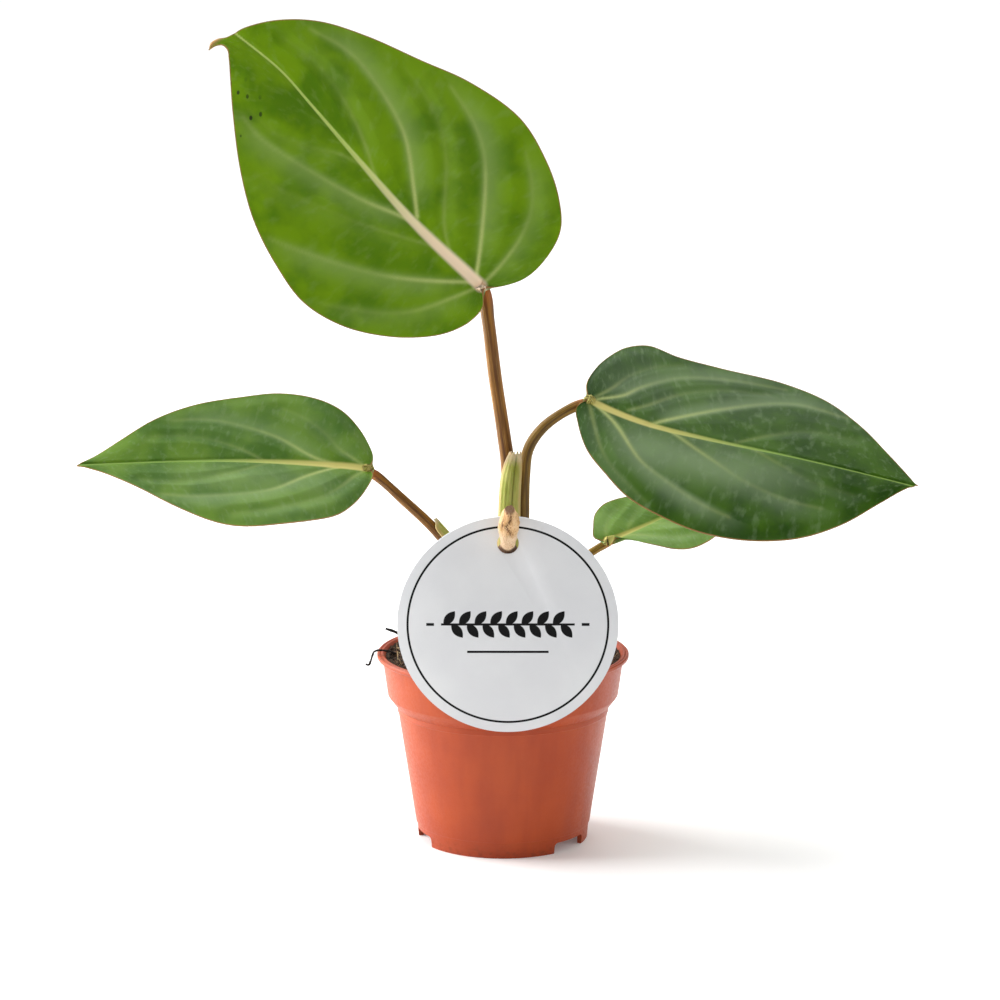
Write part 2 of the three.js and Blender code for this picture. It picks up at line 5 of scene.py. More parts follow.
import bpy
import numpy as np
from mathutils import Euler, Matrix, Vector


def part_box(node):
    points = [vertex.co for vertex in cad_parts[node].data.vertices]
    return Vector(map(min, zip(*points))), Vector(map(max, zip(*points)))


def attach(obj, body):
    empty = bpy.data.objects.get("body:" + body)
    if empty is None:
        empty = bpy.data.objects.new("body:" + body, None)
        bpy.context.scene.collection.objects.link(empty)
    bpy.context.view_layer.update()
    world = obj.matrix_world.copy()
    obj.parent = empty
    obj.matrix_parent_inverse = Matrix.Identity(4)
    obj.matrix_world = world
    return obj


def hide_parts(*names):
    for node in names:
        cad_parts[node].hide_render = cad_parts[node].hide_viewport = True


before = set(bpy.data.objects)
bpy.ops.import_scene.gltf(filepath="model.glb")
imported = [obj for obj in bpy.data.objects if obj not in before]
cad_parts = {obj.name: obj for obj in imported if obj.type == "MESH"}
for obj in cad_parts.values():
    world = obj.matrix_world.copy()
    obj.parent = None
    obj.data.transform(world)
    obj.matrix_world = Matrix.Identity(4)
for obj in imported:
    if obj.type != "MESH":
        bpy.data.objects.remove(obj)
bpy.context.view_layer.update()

# ---------------------------------------------------------------------------------------------
# Camera: a long portrait lens, a little above the leaves and looking slightly down.
CAMERA_PLACE = (-0.000716, -0.92178, 0.27513)
CAMERA_PITCH = math.radians(11.82)
camera_data = bpy.data.cameras.new("camera")
camera_data.lens = 143.3
camera_data.sensor_width = 36
camera = bpy.data.objects.new("camera", camera_data)
camera.location = CAMERA_PLACE
camera.rotation_euler = (math.pi / 2 - CAMERA_PITCH, 0, 0)
bpy.context.scene.collection.objects.link(camera)
bpy.context.scene.camera = camera
bpy.context.scene.view_settings.view_transform = "Standard"

# ---------------------------------------------------------------------------------------------
# Pot: a small nursery pot, injection moulded in terracotta-orange polypropylene. The lip, the
# shoulder and the ledge are moulded steps, and three gaps in its foot ring let water out.
MM = 0.001
POT_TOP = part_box("pot")[1].z / MM
LIP_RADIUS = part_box("pot")[1].x / MM
LIP_HEIGHT = 1.1
LIP_OVERHANG = 1.3
LIP_FLARE = 0.75
BAND_FOOT = POT_TOP - 10.3
BAND_TAPER = 1.2
SHOULDER_FOOT = BAND_FOOT - 2.5
SHOULDER_STEP = 2.3
LEDGE_FOOT = SHOULDER_FOOT - 1.5
WALL = 0.9
BASE_RADIUS = 20.25
FOOT_TOP = 4.0
FLOOR_LIFT = 2.9
FLOOR_TOP = 3.8
CENTRE_FOOT_RADIUS = 4.0
POT_SIDES = 144
FOOT_GAPS = (52, -72, 169)
FOOT_GAP_SIZE = (10.6, 5, 5.2)
DRAIN_RADIUS = 2.2
DRAIN_REACH = 14
BAND_RADIUS = LIP_RADIUS - LIP_OVERHANG
LEDGE_RADIUS = BAND_RADIUS - BAND_TAPER - SHOULDER_STEP


def primitive(kind, **settings):
    """A new mesh of Blender's own, the only thing selected."""
    for thing in bpy.context.selected_objects:
        thing.select_set(False)
    getattr(bpy.ops.mesh, "primitive_" + kind + "_add")(**settings)
    return bpy.context.object


def pick(*pieces):
    """Selects these pieces and nothing else, and makes the first one active."""
    for thing in bpy.context.selected_objects:
        thing.select_set(False)
    for piece in pieces:
        piece.select_set(True)
    bpy.context.view_layer.objects.active = pieces[0]


def edit_all(piece):
    """Opens the piece for editing, with all of it selected."""
    pick(piece)
    bpy.ops.object.mode_set(mode="EDIT")
    bpy.ops.mesh.select_all(action="SELECT")


def end_edit():
    """Turns all faces outwards and closes the piece again."""
    bpy.ops.mesh.select_all(action="SELECT")
    bpy.ops.mesh.normals_make_consistent(inside=False)
    bpy.ops.object.mode_set(mode="OBJECT")


def turned(name, rings, sides):
    """A solid turned about Z: a filled circle, extruded ring by ring, and filled again at the last."""
    radius, height = rings[0]
    start = (0, 0, height * MM)
    piece = primitive("circle", vertices=sides, radius=radius * MM, fill_type="NGON", location=start)
    piece.name = name
    bpy.ops.object.transform_apply()
    edit_all(piece)
    bpy.ops.mesh.region_to_loop()
    for next_radius, next_height in rings[1:]:
        lift = (0, 0, (next_height - height) * MM)
        bpy.ops.mesh.extrude_edges_move(TRANSFORM_OT_translate={"value": lift})
        share = next_radius / radius
        bpy.ops.transform.resize(value=(share, share, 1), center_override=(0, 0, 0))
        radius, height = next_radius, next_height
    bpy.ops.mesh.edge_face_add()
    end_edit()
    return piece


def apply_modifier(piece, kind, **settings):
    modifier = piece.modifiers.new(kind.lower(), kind)
    for setting, value in settings.items():
        setattr(modifier, setting, value)
    pick(piece)
    bpy.ops.object.modifier_apply(modifier=modifier.name)


def shade(piece, degrees):
    pick(piece)
    bpy.ops.object.shade_smooth_by_angle(angle=math.radians(degrees))


def cut_away(piece, cutter):
    apply_modifier(piece, "BOOLEAN", operation="DIFFERENCE", solver="EXACT", object=cutter)
    bpy.data.objects.remove(cutter)


def belong(piece, slot, *nodes):
    """The piece stands for these nodes, which it hides, and goes with the one body. The slot is not used.
    """
    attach(piece, "root")
    if nodes:
        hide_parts(*nodes)


def linear(red, green, blue):
    """A colour given as on a paint chart, from 0 to 255, as light adds up."""
    parts = [c / 255 for c in (red, green, blue)]
    return tuple(c / 12.92 if c <= 0.04045 else ((c + 0.055) / 1.055) ** 2.4 for c in parts) + (1.0,)


def put(tree, kind, inputs=(), **settings):
    """One shader node, with its settings made and its inputs filled or linked."""
    made = tree.nodes.new("ShaderNode" + kind)
    for setting, value in settings.items():
        setattr(made, setting, value)
    for key, value in dict(inputs).items():
        if isinstance(value, bpy.types.NodeSocket):
            tree.links.new(value, made.inputs[key])
        else:
            made.inputs[key].default_value = value
    return made


def maths(tree, operation, *values, clamp=False):
    made = put(tree, "Math", dict(enumerate(values)), operation=operation, use_clamp=clamp)
    return made.outputs[0]


def times(tree, *values, clamp=False):
    return maths(tree, "MULTIPLY", *values, clamp=clamp)


def plus(tree, *values):
    return maths(tree, "ADD", *values)


def minus(tree, *values):
    return maths(tree, "SUBTRACT", *values)


def unsigned(tree, value):
    return maths(tree, "ABSOLUTE", value)


def blended(tree, share, first, second):
    """The second colour over the first. Each is a socket, or red, green and blue from 0 to 255."""
    first, second = (linear(*colour) if isinstance(colour, tuple) else colour for colour in (first, second))
    return put(tree, "Mix", {0: share, 6: first, 7: second}, data_type="RGBA").outputs[2]


def spread(tree, value, low, high, to_low=0.0, to_high=1.0):
    """The value stretched from low..high to the given ends, and held there."""
    inputs = {"Value": value, "From Min": low, "From Max": high, "To Min": to_low, "To Max": to_high}
    return put(tree, "MapRange", inputs, interpolation_type="SMOOTHSTEP").outputs[0]


def tinted(tree, under, over, mask, low, high, most=1.0):
    """The second colour comes over the first as the mask goes from low to high, up to a share."""
    return blended(tree, spread(tree, mask, low, high, 0.0, most), under, over)


def bare_finish(name, **sockets):
    """A new material, and its node tree, with the values that are the same all over it."""
    material = bpy.data.materials.new(name)
    material.use_nodes = True
    shader = material.node_tree.nodes["Principled BSDF"]
    for socket, value in sockets.items():
        shader.inputs[socket.replace("_", " ")].default_value = value
    return material, material.node_tree


def noise(tree, vector, scale=1.0, detail=2.0):
    return put(tree, "TexNoise", {"Vector": vector, "Scale": scale, "Detail": detail}).outputs[0]


def stretched(tree, vector, *scale):
    return put(tree, "Mapping", {"Vector": vector, "Scale": scale}).outputs[0]


def marks_on(tree, *labels):
    """What was worked out at each point of the piece, by its label."""
    return {label: put(tree, "Attribute", attribute_name=label).outputs["Fac"] for label in labels}


def object_place(tree, scale=(1, 1, 1), turn=(0, 0, 0), move=(0, 0, 0)):
    """Object coordinates in millimetres, then moved, turned and scaled."""
    coordinate = put(tree, "TexCoord").outputs["Object"]
    sized = put(tree, "Mapping", {"Vector": coordinate, "Scale": (1 / MM,) * 3}).outputs[0]
    inputs = {"Vector": sized, "Scale": scale, "Rotation": turn, "Location": move}
    return put(tree, "Mapping", inputs).outputs[0]


def grain_group():
    """Cloudy variation at one size and fine grain at another, from 0 to 1."""
    group = bpy.data.node_groups.new("cloud_and_grain", "ShaderNodeTree")
    face = group.interface
    face.new_socket("Vector", in_out="INPUT", socket_type="NodeSocketVector")
    for label, value in (("Cloud Scale", 0.1), ("Grain Scale", 2.0)):
        face.new_socket(label, in_out="INPUT", socket_type="NodeSocketFloat").default_value = value
    face.new_socket("Cloud", in_out="OUTPUT", socket_type="NodeSocketFloat")
    face.new_socket("Grain", in_out="OUTPUT", socket_type="NodeSocketFloat")
    inside = group.nodes.new("NodeGroupInput")
    outside = group.nodes.new("NodeGroupOutput")
    vector = inside.outputs["Vector"]
    wide = {"Vector": vector, "Scale": inside.outputs["Cloud Scale"], "Detail": 4.0}
    cloud = put(group, "TexNoise", wide)
    fine = {"Vector": vector, "Scale": inside.outputs["Grain Scale"], "Detail": 3.0, "Roughness": 0.6}
    grain = put(group, "TexNoise", fine)
    group.links.new(cloud.outputs[0], outside.inputs["Cloud"])
    group.links.new(grain.outputs[0], outside.inputs["Grain"])
    return group


GRAIN = grain_group()


def grained(tree, vector, cloud_scale, grain_scale):
    """The shared cloud and grain masks, at this piece's own sizes."""
    made = tree.nodes.new("ShaderNodeGroup")
    made.node_tree = GRAIN
    tree.links.new(vector, made.inputs["Vector"])
    made.inputs["Cloud Scale"].default_value = cloud_scale
    made.inputs["Grain Scale"].default_value = grain_scale
    return made.outputs["Cloud"], made.outputs["Grain"]


def finished(material, colour, rough, relief, depth, strength=1.0):
    """Gives the shader its colour, its roughness and its relief, which is so many millimetres deep.

    The roughness is a socket, or a grain with the values at its low and its high parts, or None
    where it is the same all over.
    """
    tree = material.node_tree
    if isinstance(rough, tuple):
        grain, low, high = rough
        rough = spread(tree, grain, 0.3, 0.7, low, high)
    bump = put(tree, "Bump", {"Height": relief, "Distance": depth * MM, "Strength": strength})
    links = {"Base Color": colour, "Roughness": rough, "Normal": bump.outputs[0]}
    for socket, value in links.items():
        if value is not None:
            tree.links.new(value, tree.nodes["Principled BSDF"].inputs[socket])
    return material


def pot_finish():
    material, tree = bare_finish("moulded_terracotta_plastic", Specular_IOR_Level=0.35)
    place = object_place(tree)
    cloud, grain = grained(tree, place, 0.07, 1.6)
    height = put(tree, "SeparateXYZ", {0: place}).outputs[2]
    flow = noise(tree, object_place(tree, (0.25, 0.25, 0.02)))
    plastic = tinted(tree, (164, 62, 20), (174, 70, 24), cloud, 0.35, 0.65)
    plastic = tinted(tree, plastic, (150, 54, 18), flow, 0.4, 0.7, 0.35)
    scuff_noise = noise(tree, place, 0.9, 5.0)
    near_foot = spread(tree, height, 4.5, 0.0)
    dust = times(tree, near_foot, spread(tree, scuff_noise, 0.45, 0.7))
    near_lip = spread(tree, height, POT_TOP - 1.5, POT_TOP)
    splash = times(tree, near_lip, spread(tree, scuff_noise, 0.56, 0.66))
    plastic = blended(tree, times(tree, dust, 0.5), plastic, (112, 56, 34))
    plastic = blended(tree, times(tree, splash, 0.6), plastic, (92, 52, 34))
    worn = plus(tree, spread(tree, grain, 0.3, 0.7, 0.36, 0.5), times(tree, dust, 0.25))
    return finished(material, plastic, worn, grain, 0.05, 0.5)


def make_pot():
    foot_slope = BASE_RADIUS + 0.6
    edge = 0.25
    wall_top = LEDGE_RADIUS - 0.2
    inner_foot = foot_slope - WALL
    rings = [
        (inner_foot, FLOOR_TOP),
        (LEDGE_RADIUS - WALL, SHOULDER_FOOT),
        (BAND_RADIUS - BAND_TAPER - WALL, BAND_FOOT),
        (BAND_RADIUS - WALL, POT_TOP - LIP_HEIGHT),
        (BAND_RADIUS - WALL + 0.35 * LIP_FLARE, POT_TOP - 0.6 * LIP_HEIGHT),
        (BAND_RADIUS - WALL + 0.8 * LIP_FLARE, POT_TOP - 0.15),
        (BAND_RADIUS - WALL + LIP_FLARE + 0.05, POT_TOP),
        (LIP_RADIUS - 0.95, POT_TOP),
        (LIP_RADIUS - 0.8, POT_TOP - 0.16),
        (LIP_RADIUS - 0.65, POT_TOP),
        (LIP_RADIUS - edge, POT_TOP),
        (LIP_RADIUS, POT_TOP - edge),
        (LIP_RADIUS, POT_TOP - LIP_HEIGHT + edge),
        (LIP_RADIUS - edge, POT_TOP - LIP_HEIGHT),
        (BAND_RADIUS + 0.35, POT_TOP - LIP_HEIGHT),
        (BAND_RADIUS + 0.1, POT_TOP - LIP_HEIGHT - 0.1),
        (BAND_RADIUS - 0.02, POT_TOP - LIP_HEIGHT - 0.4),
        (BAND_RADIUS - BAND_TAPER, BAND_FOOT + 0.4),
        (BAND_RADIUS - BAND_TAPER - 0.25, BAND_FOOT),
        (LEDGE_RADIUS + 0.35, SHOULDER_FOOT + 0.3),
        (LEDGE_RADIUS, SHOULDER_FOOT),
        (LEDGE_RADIUS, LEDGE_FOOT + 0.3),
        (LEDGE_RADIUS - 0.15, LEDGE_FOOT + 0.1),
        (wall_top, LEDGE_FOOT),
        (foot_slope, FOOT_TOP + 0.15),
        (foot_slope - 0.1, FOOT_TOP),
        (BASE_RADIUS + 0.3, FOOT_TOP - 0.3),
        (BASE_RADIUS, 0.2),
        (BASE_RADIUS - 0.15, 0),
        (BASE_RADIUS - 1.3 * WALL, 0),
        (BASE_RADIUS - WALL - 0.2, FLOOR_LIFT),
        (CENTRE_FOOT_RADIUS, FLOOR_LIFT),
        (CENTRE_FOOT_RADIUS, 0),
    ]
    pot = turned("nursery_pot", rings, POT_SIDES)
    for angle in FOOT_GAPS:
        turn = math.radians(angle)
        middle = Vector((math.sin(turn), -math.cos(turn), 0)) * (BASE_RADIUS - 0.5) * MM
        gap = primitive("cube", size=1, location=middle, rotation=(0, 0, turn))
        gap.scale = Vector(FOOT_GAP_SIZE) * MM
        bpy.ops.object.transform_apply(location=False, rotation=False)
        apply_modifier(gap, "BEVEL", width=0.9 * MM, segments=3)
        cut_away(pot, gap)
        for step in (0, math.pi / len(FOOT_GAPS)):
            out = Vector((math.sin(turn + step), -math.cos(turn + step), 0)) * DRAIN_REACH * MM
            drain = {"radius": DRAIN_RADIUS * MM, "location": out + Vector((0, 0, 3.3 * MM))}
            cut_away(pot, primitive("cylinder", vertices=32, depth=4 * MM, **drain))
    pot.data.materials.append(pot_finish())
    shade(pot, 32)
    belong(pot, "pot_plastic", "pot")


make_pot()

# ---------------------------------------------------------------------------------------------
# Potting mix: peat crumbs, bark dust and fibres, filled to just under the lip and pressed a
# little by hand. Its top is loose, so it is all lumps, holes and small bright fibres.
SOIL_TOP = POT_TOP - 2.9
MIX_TOP = SOIL_TOP + 1.8
SOIL_BUMP = 0.55
SOIL_RINGS = 64
SOIL_SIDES = 192
CRUMB_COUNT = 760
FIBRE_COUNT = 330
crumbs = random.Random(11)


def soil_finish(name, dark, light):
    material, tree = bare_finish(name, Specular_IOR_Level=0.25)
    place = object_place(tree)
    cloud, grain = grained(tree, place, 0.5, 4.0)
    cells = put(tree, "TexVoronoi", {"Vector": place, "Scale": 1.4, "Randomness": 1.0}).outputs["Distance"]
    earth = tinted(tree, dark, light, cloud, 0.38, 0.62)
    earth = tinted(tree, earth, (168, 136, 104), grain, 0.58, 0.64)
    earth = tinted(tree, earth, (10, 7, 5), cells, 0.55, 0.1, 0.6)
    return finished(material, earth, (grain, 0.7, 1.0), grain, 0.25)


def soil_lump(x, y):
    """The lumps of the mix's top, as heights over its level."""
    lumps = np.sin(0.55 * x + 1.3) * np.cos(0.47 * y - 0.4) + 0.6 * np.sin(0.9 * y + 0.31 * x)
    to_wall = np.clip((BAND_RADIUS - np.hypot(x, y)) / 8, 0, 1)
    return SOIL_BUMP * lumps * to_wall / 1.6


def crumble(x, y):
    """Crumbs of three sizes on top of the lumps, from plain waves that never line up."""
    rough = 0.0
    for size, height in ((1.9, 0.28), (3.7, 0.2), (7.3, 0.11)):
        a = np.sin(size * x + 1.7 * np.sin(0.61 * size * y + size))
        b = np.sin(size * y * 1.13 + 1.9 * np.sin(0.53 * size * x + 2 * size))
        rough = rough + height * a * b
    return rough


def make_soil():
    inside = BAND_RADIUS - WALL - 0.12
    rings = [(LEDGE_RADIUS - 7, FLOOR_TOP + 0.3), (LEDGE_RADIUS - WALL - 0.3, SHOULDER_FOOT)]
    rings.append((BAND_RADIUS - BAND_TAPER - WALL - 0.3, BAND_FOOT))
    rings += [(inside * (1 - ring / SOIL_RINGS), MIX_TOP) for ring in range(SOIL_RINGS)]
    soil = turned("potting_mix", rings, SOIL_SIDES)
    for vertex in soil.data.vertices:
        if vertex.co.z < (MIX_TOP - 0.01) * MM:
            continue
        x, y = vertex.co.x / MM, vertex.co.y / MM
        radius = math.hypot(x, y)
        heaped = 0.8 * max(0.0, 1 - ((radius - 5) / 4) ** 2) if radius < 9 else 0.0
        banked = max(0.0, (radius - inside + 2) / 2)
        vertex.co.x *= 1 + 0.009 * banked
        vertex.co.y *= 1 + 0.009 * banked
        lumps = float(soil_lump(x, y)) + float(crumble(x, y))
        vertex.co.z = (MIX_TOP + lumps + heaped + 0.45 * banked) * MM
    soil.data.materials.append(soil_finish("peat_mix", (34, 23, 17), (66, 45, 32)))
    shade(soil, 50)
    belong(soil, "potting_mix", "soil")


def copied(model, name):
    copy = model.copy()
    copy.data = model.data.copy()
    copy.name = name
    bpy.context.scene.collection.objects.link(copy)
    return copy


def scattered(name, model, count, spot, size, slot, material):
    """Many copies of one small shape, turned and sized at random, joined as one loose layer."""
    copies = []
    for number in range(count):
        copy = copied(model, name + str(number))
        copy.location = spot()
        copy.rotation_euler = [crumbs.uniform(0, 2 * math.pi) for _ in range(3)]
        copy.scale = [size() * crumbs.uniform(0.7, 1.3) for _ in range(3)]
        copies.append(copy)
    bpy.data.objects.remove(model)
    pick(*copies)
    bpy.ops.object.join()
    layer = bpy.context.object
    bpy.ops.object.transform_apply()
    layer.name = name
    layer.data.materials.clear()
    layer.data.materials.append(material)
    belong(layer, slot)
    return layer


def on_soil(reach, sink):
    turn = crumbs.uniform(0, 2 * math.pi)
    radius = reach * math.sqrt(crumbs.uniform(0.02, 1))
    x, y = radius * math.cos(turn), radius * math.sin(turn)
    height = MIX_TOP + float(soil_lump(x, y)) + float(crumble(x, y)) - sink
    return Vector((x, y, height)) * MM


def make_crumbs():
    crumb = primitive("ico_sphere", subdivisions=2, radius=MM)
    for vertex in crumb.data.vertices:
        vertex.co *= 1 + crumbs.uniform(-0.28, 0.28)
    dark = soil_finish("peat_crumbs", (30, 20, 15), (86, 58, 40))
    layer = scattered(
        "peat_crumbs", crumb, CRUMB_COUNT, lambda: on_soil(27.5, 0.0), lambda: crumbs.uniform(0.2, 0.85),
        "potting_mix", dark,
    )
    shade(layer, 40)
    fibre = primitive("cylinder", vertices=6, radius=0.12 * MM, depth=3.2 * MM)
    apply_modifier(fibre, "BEVEL", width=0.03 * MM, segments=1)
    pale = soil_finish("coir_fibre", (168, 132, 90), (224, 196, 152))
    scattered(
        "coir_fibres", fibre, FIBRE_COUNT, lambda: on_soil(26.9, -0.35), lambda: crumbs.uniform(0.35, 1.25),
        "potting_mix", pale,
    )


make_soil()
make_crumbs()

# ---------------------------------------------------------------------------------------------
# Short stem and its roots: a stubby green-brown shoot, ringed where old sheaths dropped off,
# which all the leaves grow from. Thick pale roots leave its foot, inside the mix.
STEM_RADIUS = 3.2
STEM_HEIGHT = 12.6
STEM_DEPTH = 13.0
OLD_SHEATHS = 4
ROOT_COUNT = 4


def streaked_finish(name, dark, middle, light, flush):
    """Plant skin with streaks that run along it. The piece's UV runs round it and along it."""
    under_skin = {"Subsurface_Scale": 0.6 * MM, "Subsurface_Radius": (1.0, 0.6, 0.2)}
    material, tree = bare_finish(name, Specular_IOR_Level=0.3, Subsurface_Weight=0.06, **under_skin)
    split = put(tree, "SeparateXYZ", {0: put(tree, "UVMap").outputs[0]})
    turn = times(tree, split.outputs[0], 2 * math.pi)
    around = {0: maths(tree, "COSINE", turn), 1: maths(tree, "SINE", turn), 2: split.outputs[1]}
    place = put(tree, "CombineXYZ", around).outputs[0]
    cloud, grain = grained(tree, stretched(tree, place, 1.3, 1.3, 3), 1.0, 3.0)
    lines = noise(tree, stretched(tree, place, 9, 9, 7), 1.0, 3.0)
    skin = tinted(tree, dark, middle, cloud, 0.35, 0.65)
    skin = tinted(tree, skin, light, lines, 0.52, 0.72, 0.65)
    skin = tinted(tree, skin, dark, lines, 0.48, 0.3, 0.5)
    near_blade = times(tree, spread(tree, split.outputs[1], 0.9, 1.0), 0.75)
    skin = blended(tree, near_blade, skin, flush)
    relief = plus(tree, lines, times(tree, grain, 0.3))
    return finished(material, skin, (grain, 0.35, 0.52), relief, 0.12, 0.7)


def make_stem():
    rings = [(0.6 * STEM_RADIUS, -STEM_DEPTH), (STEM_RADIUS, -0.5 * STEM_DEPTH)]
    for scar in range(OLD_SHEATHS):
        low = -0.2 * STEM_DEPTH + scar * 3.6
        wide = STEM_RADIUS - 0.12 * scar
        rings += [(wide, low), (wide + 0.25, low + 0.5)]
        rings += [(wide + 0.22, low + 0.75), (wide - 0.18, low + 1.0)]
    rings += [(2.5, 0.88 * STEM_HEIGHT), (1.9, 0.96 * STEM_HEIGHT), (0.9, STEM_HEIGHT)]
    stem = turned("short_stem", [(radius, SOIL_TOP + height) for radius, height in rings], 40)
    for vertex in stem.data.vertices:
        lean = math.sin(9 * math.atan2(vertex.co.y, vertex.co.x) + 700 * vertex.co.z)
        vertex.co.x *= 1 + 0.012 * lean
        vertex.co.y *= 1 + 0.012 * lean
    material, tree = bare_finish("stem_skin", Specular_IOR_Level=0.4)
    cloud, grain = grained(tree, object_place(tree, (1, 1, 0.4)), 0.5, 2.4)
    skin = tinted(tree, (92, 96, 44), (132, 104, 58), cloud, 0.35, 0.65)
    skin = tinted(tree, skin, (84, 58, 36), grain, 0.6, 0.75)
    stem.data.materials.append(finished(material, skin, (grain, 0.45, 0.65), grain, 0.2))
    shade(stem, 60)
    belong(stem, "stem", "stem")


def colour_roots():
    material, tree = bare_finish("fleshy_root", Roughness=0.55)
    cloud, grain = grained(tree, object_place(tree), 0.6, 3.0)
    skin = tinted(tree, (214, 196, 158), (186, 158, 112), cloud, 0.35, 0.65)
    finished(material, skin, None, grain, 0.1)
    for number in range(1, ROOT_COUNT + 1):
        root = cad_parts["root_" + str(number)]
        root.data.materials.clear()
        root.data.materials.append(material)


make_stem()
colour_roots()

